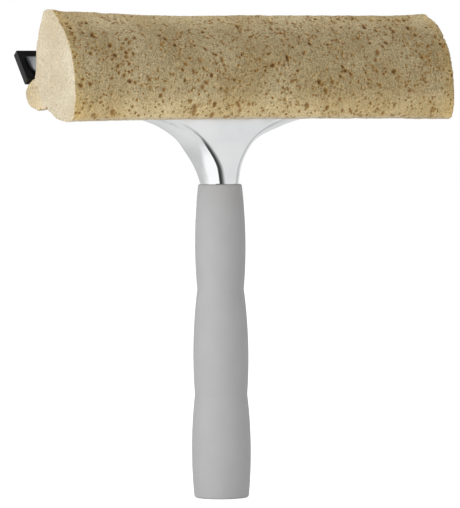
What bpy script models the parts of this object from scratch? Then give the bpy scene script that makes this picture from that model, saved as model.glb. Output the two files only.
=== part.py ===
"""Window squeegee with a sponge front and a rubber blade behind it.

Run with: blender --background --python part.py
Metres, +Z up. The origin is the centre of the grip's flat butt, X runs along
the head, the sponge faces -Y and the blade leans back towards +Y.
"""
from math import cos, pi, radians, sin, tan

import bmesh
import bpy
from mathutils import Matrix, Vector

MM = 0.001

# Fits that all pieces share
GAP = 0.3 * MM                # between rigid pieces that touch
FOAM_GAP = 0.5 * MM           # between the foam and what it rests on
OVERRUN = 2.0 * MM            # how far a cutter runs past what it cuts

# Grip: a soft three-lobed sleeve
GRIP_LENGTH = 166.0 * MM
GRIP_MOUTH_RADIUS = 11.6 * MM
GRIP_UPPER_WAIST_RADIUS = 12.35 * MM
GRIP_LOWER_WAIST_RADIUS = 13.9 * MM
GRIP_BUTT_RADIUS = 14.55 * MM
GRIP_LOBE_CROWN = 1.4 * MM
GRIP_EDGE_RADIUS = 1.3 * MM
GRIP_BUTT_WALL = 2.6 * MM
GRIP_UPPER_WAIST_SHARE = 0.665  # of the grip's length, from the butt
GRIP_LOWER_WAIST_SHARE = 0.329
LOBE_STEPS = 8

# Handle core: the moulded tube that the tang sits in
CORE_RADIUS = 9.3 * MM
CORE_BOLT_SEAT_DEPTH = 13.0 * MM
SPIGOT_DEPTH = 5.6 * MM       # the neck's round root inside the grip's mouth
SPIGOT_RADIUS = 10.1 * MM

# Tang: the casting's squarish shank
TANG_LENGTH = 56.0 * MM
TANG_HALF_WIDTH = 6.4 * MM
TANG_DRAFT = 0.7 * MM

# Long bolt that draws the tang into the core
BOLT_RADIUS = 2.5 * MM
BOLT_ENGAGEMENT = 14.0 * MM
BOLT_HEAD_RADIUS = 4.25 * MM
BOLT_HEAD_HEIGHT = 5.0 * MM
BOLT_SOCKET_RADIUS = 2.3 * MM
BOLT_SOCKET_DEPTH = 2.6 * MM
WASHER_RADIUS = 6.0 * MM
WASHER_THICKNESS = 1.2 * MM
PLUG_FLANGE_HEIGHT = 2.3 * MM
PLUG_FLANGE_RADIUS = 8.2 * MM
PLUG_SPIGOT_LENGTH = 3.6 * MM

# Head casting: neck, flare and wings
HEAD_HEIGHT = 67.0 * MM       # from the neck's base to the wings' top
WING_HALF_SPAN = 113.6 * MM
NECK_RADIUS = 10.5 * MM
NECK_FRONT_DEPTH = 10.6 * MM  # the flat front facet, in front of the axis
HEAD_FRONT_DEPTH = 9.0 * MM
NECK_BACK_DEPTH = 9.4 * MM
BACK_EASE_HEIGHT = 20.0 * MM  # over which the round back flattens into the land
LAND_ROOM = 0.4 * MM          # land below the jaw's foot
NECK_BACK_SQUARENESS = 2.2    # superellipse exponents of the back
WING_BACK_SQUARENESS = 9.0
TIP_BACK_SQUARENESS = 45.0
FRONT_EASE_SHARES = (0.08, 0.40)   # of the head's height
SQUARE_EASE_SHARES = (0.34, 0.62)
TIP_EASE_SHARES = (0.66, 0.86)
FLANK_BULGE_SHARES = (0.62, 0.38)
FLANK_STEPS = 5
BACK_STEPS = 9
TANG_SQUARENESS = 5.0

# Each row: height, half-width, facet half-width and how far back the edge lies.
# Height is a share of the head's height, the half-width runs from the neck's
# radius at 0 to the wing's half span at 1, the facet is a share of the
# half-width, and the edge is a share of the depth from front to back.
FLARE_SHARES = (
    (0.000, 0.000, 0.400, 0.50),
    (0.062, 0.0138, 0.405, 0.57),
    (0.130, 0.0316, 0.415, 0.65),
    (0.201, 0.0553, 0.490, 0.73),
    (0.271, 0.088, 0.560, 0.77),
    (0.329, 0.1165, 0.620, 0.81),
    (0.373, 0.147, 0.655, 0.84),
    (0.410, 0.190, 0.665, 0.84),
    (0.440, 0.236, 0.655, 0.77),
    (0.480, 0.302, 0.650, 0.68),
    (0.508, 0.370, 0.670, 0.70),
    (0.536, 0.441, 0.715, 0.75),
    (0.573, 0.538, 0.785, 0.77),
    (0.618, 0.640, 0.840, 0.74),
    (0.670, 0.742, 0.872, 0.70),
    (0.721, 0.820, 0.895, 0.67),
    (0.782, 0.890, 0.920, 0.64),
    (0.813, 0.922, 0.930, 0.60),
    (0.855, 0.966, 0.943, 0.56),
    (0.895, 0.992, 0.955, 0.54),
    (0.950, 1.000, 0.967, 0.53),
    (1.000, 1.000, 0.975, 0.52),
)

# Rubber blade, a flat strip that leans back
BLADE_OVERHANG = 3.4 * MM      # past each wing's end
BLADE_WIDTH = 20.0 * MM
BLADE_THICKNESS = 3.9 * MM
BLADE_LEAN = radians(39.0)
BLADE_RISE = 3.05 * MM        # wiping corner above the casting's top
BLADE_EDGE_SETBACK = 6.3 * MM  # wiping corner behind the grip's axis
BLADE_HEEL_RADIUS = 0.9 * MM

# Rear jaw: bent sheet that presses the blade against the wings
JAW_INSET = 12.6 * MM         # short of each wing's end
JAW_THICKNESS = 1.6 * MM
JAW_LIP = 8.0 * MM            # how far it reaches up the blade
JAW_FLANGE = 14.0 * MM
JAW_MARGIN = 2.6 * MM         # kept inside the casting's lower outline
JAW_CORNER_RADIUS = 3.0 * MM

# Jaw screws
SCREW_COUNT = 3
SCREW_EDGE_ROOM = 10.7 * MM   # from the outer screws' axes down to the casting's lower outline
SCREW_DROP = 8.0 * MM         # below the jaw's bend
SCREW_RADIUS = 2.0 * MM
SCREW_HEAD_RADIUS = 3.8 * MM
SCREW_HEAD_HEIGHT = 2.4 * MM
SCREW_ENGAGEMENT = 4.2 * MM
SCREW_WASHER_RADIUS = 4.6 * MM
SCREW_WASHER_THICKNESS = 0.8 * MM
SCREW_SOCKET_RADIUS = 1.35 * MM
SCREW_SOCKET_DEPTH = 1.2 * MM

# Sponge
SPONGE_OVERHANG = 0.4 * MM     # past each wing's end
SPONGE_HEIGHT = 56.2 * MM
SPONGE_DEPTH = 43.6 * MM
SPONGE_DROP = 33.4 * MM       # its bottom below the wings' top
SPONGE_TOP_PINCH = 1.6 * MM   # both are drawn in at mid length
SPONGE_BOTTOM_PINCH = 1.0 * MM
SPONGE_STATIONS = 12
PINCH_EASE_SHARES = (0.40, 0.80)   # of the depth, where the bottom starts to rise
PINCH_POWER = 3
LOBE_REACH = 12.0 * MM        # behind the sponge's flat back
LOBE_FLOOR_RISE = 5.9 * MM    # above the sponge's bottom
LOBE_ROOT_DEPTH = 8.0 * MM    # how far the lobe is rooted in the body
WING_ROOM = 1.0 * MM          # between a lobe and the wing over it
BLADE_ROOM = 0.8 * MM         # between a lobe and the blade's heel
LOBE_LEAST_HEIGHT = 3.6 * MM  # where a lobe starts under the wing
LOBE_END_ROOM = 0.9 * MM      # short of the sponge's end
LOBE_STATION_SHARES = (0.0, 0.18, 0.38, 0.59, 0.77, 0.93, 1.0)  # from its start to its end

# Outline of the sponge's section: depth from the flat back, height from the bottom
SPONGE_SECTION_SHARES = (
    (0.000, 0.130), (0.000, 0.300), (0.000, 0.470), (0.006, 0.640),
    (0.034, 0.735), (0.072, 0.805), (0.112, 0.870), (0.160, 0.940),
    (0.212, 0.996), (0.325, 1.000), (0.425, 0.998), (0.492, 0.958),
    (0.580, 0.912), (0.672, 0.852), (0.748, 0.784), (0.818, 0.711),
    (0.876, 0.634), (0.917, 0.555), (0.949, 0.470), (0.968, 0.385),
    (0.983, 0.295), (0.987, 0.210), (0.975, 0.145), (0.955, 0.075),
    (0.905, 0.012), (0.820, 0.000), (0.720, 0.002), (0.610, 0.010),
    (0.520, 0.026), (0.440, 0.052), (0.360, 0.084), (0.270, 0.112),
    (0.185, 0.128), (0.095, 0.116),
)

# Outline of a full lobe: reach behind the sponge's back, height up to the blade's heel
LOBE_SECTION_SHARES = (
    (-0.05, 1.42), (0.10, 1.36), (0.24, 1.18), (0.36, 0.99), (0.48, 0.92), (0.66, 0.88),
    (0.85, 0.83), (0.96, 0.74), (1.00, 0.62), (0.98, 0.43), (0.86, 0.25), (0.62, 0.10),
    (0.30, 0.02), (-0.05, 0.00),
)

# Backing plate that the foam is bonded to, and the studs that hold it
BACKING_LENGTH = 168.0 * MM
BACKING_HEIGHT = 20.0 * MM
BACKING_THICKNESS = 2.4 * MM
BACKING_RISE = 10.6 * MM      # its lower edge above the sponge's bottom
BACKING_CORNER_RADIUS = 4.0 * MM
STUD_PITCH = 46.0 * MM
STUD_COUNT = 4
STUD_SHANK_RADIUS = 2.0 * MM
STUD_HEAD_RADIUS = 2.9 * MM
STUD_HEAD_LENGTH = 3.4 * MM
STUD_ROOT_DEPTH = 3.6 * MM
STUD_RISE = 16.6 * MM         # above the sponge's bottom
SOCKET_RADIUS = 5.0 * MM
SOCKET_DEPTH = 4.6 * MM

ROUND_SIDES = 32
SMALL_SIDES = 16
HEX_SIDES = 6
HALF_TURN = pi
QUARTER_TURN = pi / 2
SMOOTH_ANGLE = radians(35.0)
JOIN_DISTANCE = 0.01 * MM
ARC_STEPS = 3
JAW_STEPS = 16
LEVEL_SPACING = 1.0 * MM       # least height between two sections of the casting
PARTS_NAME = "window_squeegee"
CUTTERS_NAME = "cutters"

# Places that follow from the sizes above
NECK_BASE = GRIP_LENGTH + GAP
HEAD_TOP = NECK_BASE + HEAD_HEIGHT
SPONGE_BOTTOM = HEAD_TOP - SPONGE_DROP
SPONGE_LENGTH = (WING_HALF_SPAN + SPONGE_OVERHANG) * 2
BLADE_LENGTH = (WING_HALF_SPAN + BLADE_OVERHANG) * 2
JAW_LENGTH = (WING_HALF_SPAN - JAW_INSET) * 2
LOBE_FLOOR = SPONGE_BOTTOM + LOBE_FLOOR_RISE
CORE_TOP = GRIP_LENGTH - SPIGOT_DEPTH - GAP
TANG_BOTTOM = CORE_TOP - TANG_LENGTH
BOLT_SEAT = CORE_BOLT_SEAT_DEPTH + GRIP_BUTT_WALL
BOLT_TIP = TANG_BOTTOM + BOLT_ENGAGEMENT
BLADE_UP = Vector((0, sin(BLADE_LEAN), cos(BLADE_LEAN)))
BLADE_BACK = Vector((0, cos(BLADE_LEAN), -sin(BLADE_LEAN)))
BLADE_TIP = Vector((0, BLADE_EDGE_SETBACK, HEAD_TOP + BLADE_RISE))
BLADE_FOOT = BLADE_TIP - BLADE_UP * BLADE_WIDTH
BLADE_HEEL = BLADE_FOOT + BLADE_BACK * BLADE_THICKNESS
LAND_Y = BLADE_HEEL.y
SEAT_FOOT = BLADE_FOOT - BLADE_UP * GAP - BLADE_BACK * GAP
LEDGE_DROP = (LAND_Y - SEAT_FOOT.y) * tan(BLADE_LEAN)
LAND_TOP = SEAT_FOOT.z - LEDGE_DROP
JAW_INNER_Y = LAND_Y + GAP
JAW_BEND = BLADE_HEEL + BLADE_BACK * GAP
LAND_FOOT = JAW_BEND.z - JAW_FLANGE - LAND_ROOM
BACK_EASE_LEVELS = (LAND_FOOT - BACK_EASE_HEIGHT, LAND_FOOT)
SCREW_HEIGHT = LAND_TOP - SCREW_DROP
SPONGE_BACK_Y = -HEAD_FRONT_DEPTH - FOAM_GAP
STUD_HEIGHT = SPONGE_BOTTOM + STUD_RISE
BACKING_FRONT_Y = SPONGE_BACK_Y - BACKING_THICKNESS


def clear_scene():
    for thing in list(bpy.data.objects):
        bpy.data.objects.remove(thing, do_unlink=True)


def new_collection(name):
    collection = bpy.data.collections.new(name)
    bpy.context.scene.collection.children.link(collection)
    return collection


def material(name, colour, roughness, metallic=0.0):
    finish = bpy.data.materials.new(name)
    finish.use_nodes = True
    shader = finish.node_tree.nodes["Principled BSDF"]
    shader.inputs["Base Color"].default_value = (*colour, 1.0)
    shader.inputs["Roughness"].default_value = roughness
    shader.inputs["Metallic"].default_value = metallic
    finish.diffuse_color = (*colour, 1.0)
    return finish


def smooth(thing):
    thing.data.shade_smooth()
    thing.data.set_sharp_from_angle(angle=SMOOTH_ANGLE)


def add_mesh_object(name, mesh, collection):
    thing = bpy.data.objects.new(name, mesh)
    collection.objects.link(thing)
    return thing


def mix(start, end, share):
    return start + (end - start) * share


def ease(value, limits):
    low, high = limits
    share = min(max((value - low) / (high - low), 0.0), 1.0)
    return share * share * (3 - 2 * share)


def pick(rows, height, column):
    """Reads one column of a table of shares at a height, smoothly."""
    last = len(rows) - 1
    index = 0
    while index < last - 1 and rows[index + 1][0] < height:
        index += 1
    low, high = rows[index], rows[index + 1]
    step = high[0] - low[0]
    share = min(max((height - low[0]) / step, 0.0), 1.0)
    before, after = rows[max(index - 1, 0)], rows[min(index + 2, last)]
    slope_low = (high[column] - before[column]) / (high[0] - before[0]) * step
    slope_high = (after[column] - low[column]) / (after[0] - low[0]) * step
    square, cube = share * share, share * share * share
    return (
        (2 * cube - 3 * square + 1) * low[column]
        + (cube - 2 * square + share) * slope_low
        + (3 * square - 2 * cube) * high[column]
        + (cube - square) * slope_high
    )


def loft(name, rings, collection):
    """Closed body through rings of equal counts, capped at both ends."""
    shape = bmesh.new()
    loops = [[shape.verts.new(point) for point in ring] for ring in rings]
    count = len(loops[0])
    for lower, upper in zip(loops, loops[1:]):
        for i in range(count):
            j = (i + 1) % count
            shape.faces.new((lower[i], lower[j], upper[j], upper[i]))
    shape.faces.new(tuple(reversed(loops[0])))
    shape.faces.new(tuple(loops[-1]))
    bmesh.ops.recalc_face_normals(shape, faces=shape.faces)
    mesh = bpy.data.meshes.new(name)
    shape.to_mesh(mesh)
    shape.free()
    return add_mesh_object(name, mesh, collection)


def turned(name, profile, collection, sides=ROUND_SIDES):
    """Turns (radius, height) points, top to bottom on the outer side, about Z."""
    mesh = bpy.data.meshes.new(name)
    points = [(radius, 0, height) for radius, height in profile]
    open_ended = profile[0][0] == 0
    edges = [(i, i + 1) for i in range(len(points) - 1)]
    if not open_ended:
        edges.append((len(points) - 1, 0))
    mesh.from_pydata(points, edges, [])
    thing = add_mesh_object(name, mesh, collection)
    screw = thing.modifiers.new("turn", "SCREW")
    screw.steps = screw.render_steps = sides
    screw.use_merge_vertices = True
    screw.merge_threshold = JOIN_DISTANCE
    screw.use_smooth_shade = True
    return thing


def extruded(name, outline, half_thickness, collection):
    """Flat outline in local XY, given half its thickness each way, as a mesh."""
    curve = bpy.data.curves.new(name, "CURVE")
    curve.dimensions = "2D"
    curve.fill_mode = "BOTH"
    curve.extrude = half_thickness
    spline = curve.splines.new("POLY")
    spline.points.add(len(outline) - 1)
    for point, (x, y) in zip(spline.points, outline):
        point.co = (x, y, 0, 1)
    spline.use_cyclic_u = True
    guide = add_mesh_object(name + "_outline", curve, collection)
    graph = bpy.context.evaluated_depsgraph_get()
    mesh = bpy.data.meshes.new_from_object(guide.evaluated_get(graph))
    bpy.data.objects.remove(guide, do_unlink=True)
    shape = bmesh.new()
    shape.from_mesh(mesh)
    bmesh.ops.remove_doubles(shape, verts=shape.verts, dist=JOIN_DISTANCE)
    bmesh.ops.recalc_face_normals(shape, faces=shape.faces)
    shape.to_mesh(mesh)
    shape.free()
    return add_mesh_object(name, mesh, collection)


def stand_front(thing, y=0.0):
    """Turns a flat outline so that it is seen from the front."""
    thing.matrix_world = Matrix.Translation((0, y, 0)) @ Matrix.Rotation(QUARTER_TURN, 4, "X")


def stand_side(thing):
    """Turns a flat outline so that it is a section across the head."""
    thing.matrix_world = Matrix(((0, 0, 1, 0), (1, 0, 0, 0), (0, 1, 0, 0), (0, 0, 0, 1)))


def point_back(thing, x, y, z):
    """Turns a part made along Z so that its top faces +Y, and puts it there."""
    thing.matrix_world = Matrix.Translation((x, y, z)) @ Matrix.Rotation(-QUARTER_TURN, 4, "X")


def hide_cutter(cutter):
    cutter.hide_render = True
    cutter.display_type = "WIRE"


def boolean(thing, other, operation):
    hide_cutter(other)
    step = thing.modifiers.new(operation.lower() + "_" + other.name, "BOOLEAN")
    step.object = other
    step.operation = operation
    step.solver = "EXACT"


def cut(thing, cutter):
    boolean(thing, cutter, "DIFFERENCE")


def cylinder_profile(radius, low, high):
    return [(0, high), (radius, high), (radius, low), (0, low)]


def places(pitch, count):
    """Positions along X of a row that is centred on the handle."""
    return [(i - (count - 1) / 2) * pitch for i in range(count)]


def row_cutter(name, radius, low, high, pitch, count, collection):
    """Cylinders along Y, in a row along X, as one cutter. The ends run towards +Y."""
    cutter = turned(name, cylinder_profile(radius, low, high), collection, SMALL_SIDES)
    row = cutter.modifiers.new("row", "ARRAY")
    row.count = count
    row.use_relative_offset = False
    row.use_constant_offset = True
    row.constant_offset_displace = (pitch, 0, 0)
    return cutter


def screw_row(name, low, high, y, collection):
    pitch = screw_pitch()
    cutter = row_cutter(name, SCREW_RADIUS + GAP, low, high, pitch, SCREW_COUNT, collection)
    point_back(cutter, places(pitch, SCREW_COUNT)[0], y, SCREW_HEIGHT)
    return cutter


def stud_row(name, radius, low, high, y, collection):
    cutter = row_cutter(name, radius, low, high, STUD_PITCH, STUD_COUNT, collection)
    point_back(cutter, places(STUD_PITCH, STUD_COUNT)[0], y, STUD_HEIGHT)
    return cutter


def rounded_rectangle(half_width, half_height, radius):
    corners = (
        (half_width - radius, half_height - radius, 0),
        (radius - half_width, half_height - radius, QUARTER_TURN),
        (radius - half_width, radius - half_height, HALF_TURN),
        (half_width - radius, radius - half_height, HALF_TURN + QUARTER_TURN),
    )
    points = []
    for x, y, start in corners:
        for step in range(ARC_STEPS + 1):
            angle = start + QUARTER_TURN * step / ARC_STEPS
            points.append((x + radius * cos(angle), y + radius * sin(angle)))
    return points


def seat_y(height):
    """Where the casting's sloping seat lies behind the axis at a height."""
    return SEAT_FOOT.y + (height - SEAT_FOOT.z) * tan(BLADE_LEAN)


def wing_half_width(height_share):
    return mix(NECK_RADIUS, WING_HALF_SPAN, pick(FLARE_SHARES, height_share, 1))


def screw_pitch():
    """The outer screws stand as far out as the casting's lower outline lets them."""
    return wing_half_width((SCREW_HEIGHT - SCREW_EDGE_ROOM - NECK_BASE) / HEAD_HEIGHT)


def underside_height(half_width):
    """Height of the casting's lower outline at a distance from the axis."""
    low, high = 0.0, 1.0
    for _ in range(30):
        middle = (low + high) / 2
        if wing_half_width(middle) < half_width:
            low = middle
        else:
            high = middle
    return NECK_BASE + HEAD_HEIGHT * low


def half_ring(half_width, facet, front, edge, back, squareness):
    """Half of a neck or wing section, from the front centre to the back centre."""
    points = [(0, -front), (facet, -front)]
    bend_x = mix(facet, half_width, FLANK_BULGE_SHARES[0])
    bend_y = mix(-front, edge, FLANK_BULGE_SHARES[1])
    for step in range(1, FLANK_STEPS + 1):
        t = step / FLANK_STEPS
        start, middle, end = (1 - t) * (1 - t), 2 * t * (1 - t), t * t
        x = start * facet + middle * bend_x + end * half_width
        y = middle * bend_y + end * edge - start * front
        points.append((x, y))
    for step in range(1, BACK_STEPS + 1):
        angle = QUARTER_TURN * step / BACK_STEPS
        x = half_width * max(cos(angle), 0) ** (2 / squareness)
        y = mix(edge, back, sin(angle) ** (2 / squareness))
        points.append((x, y))
    points[-1] = (0, back)
    return points


def whole_ring(half, height):
    right = [Vector((x, y, height)) for x, y in half]
    left = [Vector((-x, y, height)) for x, y in reversed(half[1:-1])]
    return right + left


def shank_ring(half_width, squareness, height):
    """Section of the tang or the round root, with as many points as the neck's."""
    half = []
    count = FLANK_STEPS + BACK_STEPS + 1
    for step in range(count + 1):
        angle = HALF_TURN * step / count - QUARTER_TURN
        x = max(cos(angle), 0) ** (2 / squareness)
        y = abs(sin(angle)) ** (2 / squareness)
        half.append((half_width * x, half_width * (y if angle > 0 else -y)))
    return whole_ring(half, height)


def neck_ring(height):
    share = (height - NECK_BASE) / HEAD_HEIGHT
    half_width = wing_half_width(share)
    facet = half_width * pick(FLARE_SHARES, share, 2)
    front = mix(NECK_FRONT_DEPTH, HEAD_FRONT_DEPTH, ease(share, FRONT_EASE_SHARES))
    if height > LAND_TOP + GAP:
        back = seat_y(height)
    else:
        back = mix(NECK_BACK_DEPTH, LAND_Y, ease(height, BACK_EASE_LEVELS))
    edge = mix(-front, back, pick(FLARE_SHARES, share, 3))
    squareness = mix(NECK_BACK_SQUARENESS, WING_BACK_SQUARENESS, ease(share, SQUARE_EASE_SHARES))
    squareness = mix(squareness, TIP_BACK_SQUARENESS, ease(share, TIP_EASE_SHARES))
    return whole_ring(half_ring(half_width, facet, front, edge, back, squareness), height)


def casting_heights():
    heights = [NECK_BASE + HEAD_HEIGHT * row[0] for row in FLARE_SHARES]
    steps = [LAND_TOP, SEAT_FOOT.z]
    clear = [h for h in heights if min(abs(h - step) for step in steps) > LEVEL_SPACING]
    return sorted(clear + steps)


def make_head_casting(parts, cutters):
    rings = [
        shank_ring(TANG_HALF_WIDTH - TANG_DRAFT, TANG_SQUARENESS, TANG_BOTTOM),
        shank_ring(TANG_HALF_WIDTH, TANG_SQUARENESS, CORE_TOP + GAP),
        shank_ring(SPIGOT_RADIUS, 2, CORE_TOP + GAP),
        shank_ring(SPIGOT_RADIUS, 2, NECK_BASE),
    ]
    rings += [neck_ring(height) for height in casting_heights()]
    casting = loft("head_casting", rings, parts)
    smooth(casting)
    bore = turned(
        "tang_bore_cutter",
        cylinder_profile(BOLT_RADIUS + GAP, TANG_BOTTOM - OVERRUN, BOLT_TIP + GAP),
        cutters,
        SMALL_SIDES,
    )
    cut(casting, bore)
    cut(casting, screw_row("screw_holes", -SCREW_ENGAGEMENT - GAP, OVERRUN, LAND_Y, cutters))
    cut(casting, stud_row(
        "stud_holes", STUD_SHANK_RADIUS + GAP, -OVERRUN, STUD_ROOT_DEPTH + GAP, -HEAD_FRONT_DEPTH, cutters,
    ))
    casting.data.materials.append(material("polished_cast_aluminium", (0.80, 0.80, 0.80), 0.18, 1.0))
    return casting


def blade_section():
    """Section of the strip in (Y, Z), with its two lower edges rounded."""
    points = [BLADE_TIP, BLADE_TIP + BLADE_BACK * BLADE_THICKNESS]
    for corner, along, across in (
        (BLADE_HEEL, BLADE_UP, -BLADE_BACK),
        (BLADE_FOOT, BLADE_BACK, BLADE_UP),
    ):
        centre = corner + (along + across) * BLADE_HEEL_RADIUS
        for step in range(ARC_STEPS + 1):
            angle = QUARTER_TURN * step / ARC_STEPS
            points.append(centre - (across * cos(angle) + along * sin(angle)) * BLADE_HEEL_RADIUS)
    return [(point.y, point.z) for point in points]


def make_rubber_blade(parts):
    blade = extruded("rubber_blade", blade_section(), BLADE_LENGTH / 2, parts)
    stand_side(blade)
    blade.data.materials.append(material("black_rubber", (0.012, 0.012, 0.012), 0.55))
    return blade


def jaw_section():
    """Bent sheet in (Y, Z): flange on the land, lip on the back of the blade."""
    bend_low = Vector((0, JAW_INNER_Y, JAW_BEND.z - (JAW_BEND.y - JAW_INNER_Y) / tan(BLADE_LEAN)))
    lip_top = JAW_BEND + BLADE_UP * JAW_LIP
    outer_lip = lip_top + BLADE_BACK * JAW_THICKNESS
    outer_y = JAW_INNER_Y + JAW_THICKNESS
    bend_out_z = outer_lip.z - (outer_lip.y - outer_y) / tan(BLADE_LEAN)
    foot_z = bend_low.z - JAW_FLANGE - OVERRUN
    points = (
        (JAW_INNER_Y, foot_z), (JAW_INNER_Y, bend_low.z), (lip_top.y, lip_top.z),
        (outer_lip.y, outer_lip.z), (outer_y, bend_out_z), (outer_y, foot_z),
    )
    return points


def jaw_outline():
    """Front view of the jaw: straight on top, below it follows the casting."""
    half = JAW_LENGTH / 2
    top = HEAD_TOP + OVERRUN
    corner = half - JAW_CORNER_RADIUS
    floor = JAW_BEND.z - JAW_FLANGE
    right = []
    for step in range(JAW_STEPS + 1):
        x = half * step / JAW_STEPS
        lowest = max(underside_height(min(x + JAW_MARGIN, WING_HALF_SPAN)) + JAW_MARGIN, floor)
        if x > corner:
            lowest = max(lowest, JAW_BEND.z + JAW_CORNER_RADIUS)
        right.append((x, lowest))
    left = [(-x, z) for x, z in reversed(right[1:])]
    return [(half, top), (-half, top)] + left + right


def make_clamp_jaw(parts, cutters):
    jaw = extruded("clamp_jaw", jaw_section(), JAW_LENGTH / 2 + OVERRUN, parts)
    stand_side(jaw)
    outline = extruded("jaw_outline_cutter", jaw_outline(), JAW_FLANGE + JAW_LIP, cutters)
    stand_front(outline)
    boolean(jaw, outline, "INTERSECT")
    cut(jaw, screw_row("jaw_holes", -OVERRUN, JAW_THICKNESS + OVERRUN, JAW_INNER_Y, cutters))
    jaw.data.materials.append(material("brushed_stainless", (0.58, 0.58, 0.57), 0.30, 1.0))
    return jaw


def head_arc(radius, crown, base):
    """Domed head of a fastener, from its centre out and down to its rim."""
    points = []
    for step in range(ARC_STEPS + 1):
        angle = QUARTER_TURN * step / ARC_STEPS
        points.append((radius * sin(angle), base + crown * cos(angle)))
    return points


def make_jaw_screws(parts, cutters):
    """Pan head screws with a hexagon socket, and a washer under each."""
    seat = JAW_INNER_Y + JAW_THICKNESS + GAP
    shank_low = LAND_Y - SCREW_ENGAGEMENT - seat
    washer_top = SCREW_WASHER_THICKNESS
    head_low = washer_top + GAP
    rim = head_low + SCREW_HEAD_HEIGHT / 3
    profile = head_arc(SCREW_HEAD_RADIUS, SCREW_HEAD_HEIGHT * 2 / 3, rim)
    profile += [(SCREW_HEAD_RADIUS, head_low), (SCREW_RADIUS, head_low), (SCREW_RADIUS, shank_low), (0, shank_low)]
    washer_profile = [
        (SCREW_WASHER_RADIUS, washer_top), (SCREW_WASHER_RADIUS, 0),
        (SCREW_RADIUS + GAP, 0), (SCREW_RADIUS + GAP, washer_top),
    ]
    steel = material("screw_steel", (0.50, 0.50, 0.51), 0.28, 1.0)
    for i, x in enumerate(places(screw_pitch(), SCREW_COUNT)):
        screw = turned(f"jaw_screw_{i + 1}", profile, parts, SMALL_SIDES)
        socket = turned(
            f"jaw_socket_cutter_{i + 1}",
            cylinder_profile(SCREW_SOCKET_RADIUS, head_low + SCREW_HEAD_HEIGHT - SCREW_SOCKET_DEPTH,
                             head_low + SCREW_HEAD_HEIGHT + OVERRUN),
            cutters,
            HEX_SIDES,
        )
        washer = turned(f"jaw_washer_{i + 1}", washer_profile, parts, SMALL_SIDES)
        for thing in (screw, socket, washer):
            point_back(thing, x, seat, SCREW_HEIGHT)
        cut(screw, socket)
        for thing in (screw, washer):
            thing.data.materials.append(steel)


def make_sponge_studs(parts):
    """Headed studs pressed into the casting's front. Their heads hold the backing."""
    neck_low = -STUD_ROOT_DEPTH
    neck_high = FOAM_GAP + BACKING_THICKNESS - STUD_HEAD_RADIUS / 2
    swell = STUD_HEAD_RADIUS - STUD_SHANK_RADIUS
    profile = head_arc(STUD_HEAD_RADIUS, STUD_HEAD_LENGTH / 2, neck_high + STUD_HEAD_LENGTH / 2)
    profile += [
        (STUD_HEAD_RADIUS, neck_high + swell), (STUD_SHANK_RADIUS, neck_high),
        (STUD_SHANK_RADIUS, neck_low), (0, neck_low),
    ]
    steel = material("stud_steel", (0.50, 0.50, 0.51), 0.30, 1.0)
    turn = Matrix.Rotation(QUARTER_TURN, 4, "X")
    for i, x in enumerate(places(STUD_PITCH, STUD_COUNT)):
        stud = turned(f"sponge_stud_{i + 1}", profile, parts, SMALL_SIDES)
        stud.matrix_world = Matrix.Translation((x, -HEAD_FRONT_DEPTH, STUD_HEIGHT)) @ turn
        stud.data.materials.append(steel)


def backing_outline(margin):
    half_height = BACKING_HEIGHT / 2
    middle = SPONGE_BOTTOM + BACKING_RISE + half_height
    shape = rounded_rectangle(BACKING_LENGTH / 2 + margin, half_height + margin, BACKING_CORNER_RADIUS + margin)
    return [(x, middle + z) for x, z in shape]


def make_sponge_backing(parts, cutters):
    """Moulded plate with a socket for each stud on its foam side."""
    backing = extruded("sponge_backing", backing_outline(0), BACKING_THICKNESS / 2, parts)
    stand_front(backing, SPONGE_BACK_Y - BACKING_THICKNESS / 2)
    bosses = stud_row(
        "socket_bosses", SOCKET_RADIUS, -SOCKET_DEPTH, BACKING_THICKNESS / 2, BACKING_FRONT_Y, cutters,
    )
    boolean(backing, bosses, "UNION")
    low = -SOCKET_DEPTH - OVERRUN
    high = BACKING_THICKNESS + OVERRUN
    cut(backing, stud_row("socket_bores", STUD_HEAD_RADIUS + GAP, low, high, BACKING_FRONT_Y, cutters))
    backing.data.materials.append(material("grey_abs", (0.20, 0.20, 0.21), 0.45))
    return backing


def sponge_ring(x):
    """Section of the sponge at x, drawn in towards mid length."""
    draw = 1 - abs(2 * x / SPONGE_LENGTH) ** PINCH_POWER
    points = []
    for depth, height in SPONGE_SECTION_SHARES:
        low = SPONGE_BOTTOM + SPONGE_BOTTOM_PINCH * draw * ease(depth, PINCH_EASE_SHARES)
        high = SPONGE_BOTTOM + SPONGE_HEIGHT - SPONGE_TOP_PINCH * draw
        points.append(Vector((x, SPONGE_BACK_Y - SPONGE_DEPTH * depth, mix(low, high, height))))
    return points


def lobe_ring(x, side):
    """Section of the lower back lobe, kept under the wing and the blade."""
    full = BLADE_HEEL.z - BLADE_ROOM - LOBE_FLOOR
    room = full * LOBE_SECTION_SHARES[0][1]
    if x < WING_HALF_SPAN + GAP:
        room = min(underside_height(x) - WING_ROOM - LOBE_FLOOR, room)
    share = min(room / full, 1.0)
    points = [Vector((side * x, SPONGE_BACK_Y - LOBE_ROOT_DEPTH, LOBE_FLOOR + room / 2))]
    for reach, height in LOBE_SECTION_SHARES:
        y = SPONGE_BACK_Y + LOBE_REACH * reach * share
        points.append(Vector((side * x, y, LOBE_FLOOR + min(full * height * share, room))))
    return points


def lobe_places():
    """Positions along X of a lobe's sections, from where the wing leaves room for it."""
    start_height = LOBE_FLOOR + WING_ROOM + LOBE_LEAST_HEIGHT
    start = wing_half_width((start_height - NECK_BASE) / HEAD_HEIGHT)
    end = SPONGE_LENGTH / 2 - LOBE_END_ROOM
    return [mix(start, end, share) for share in LOBE_STATION_SHARES]


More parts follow.
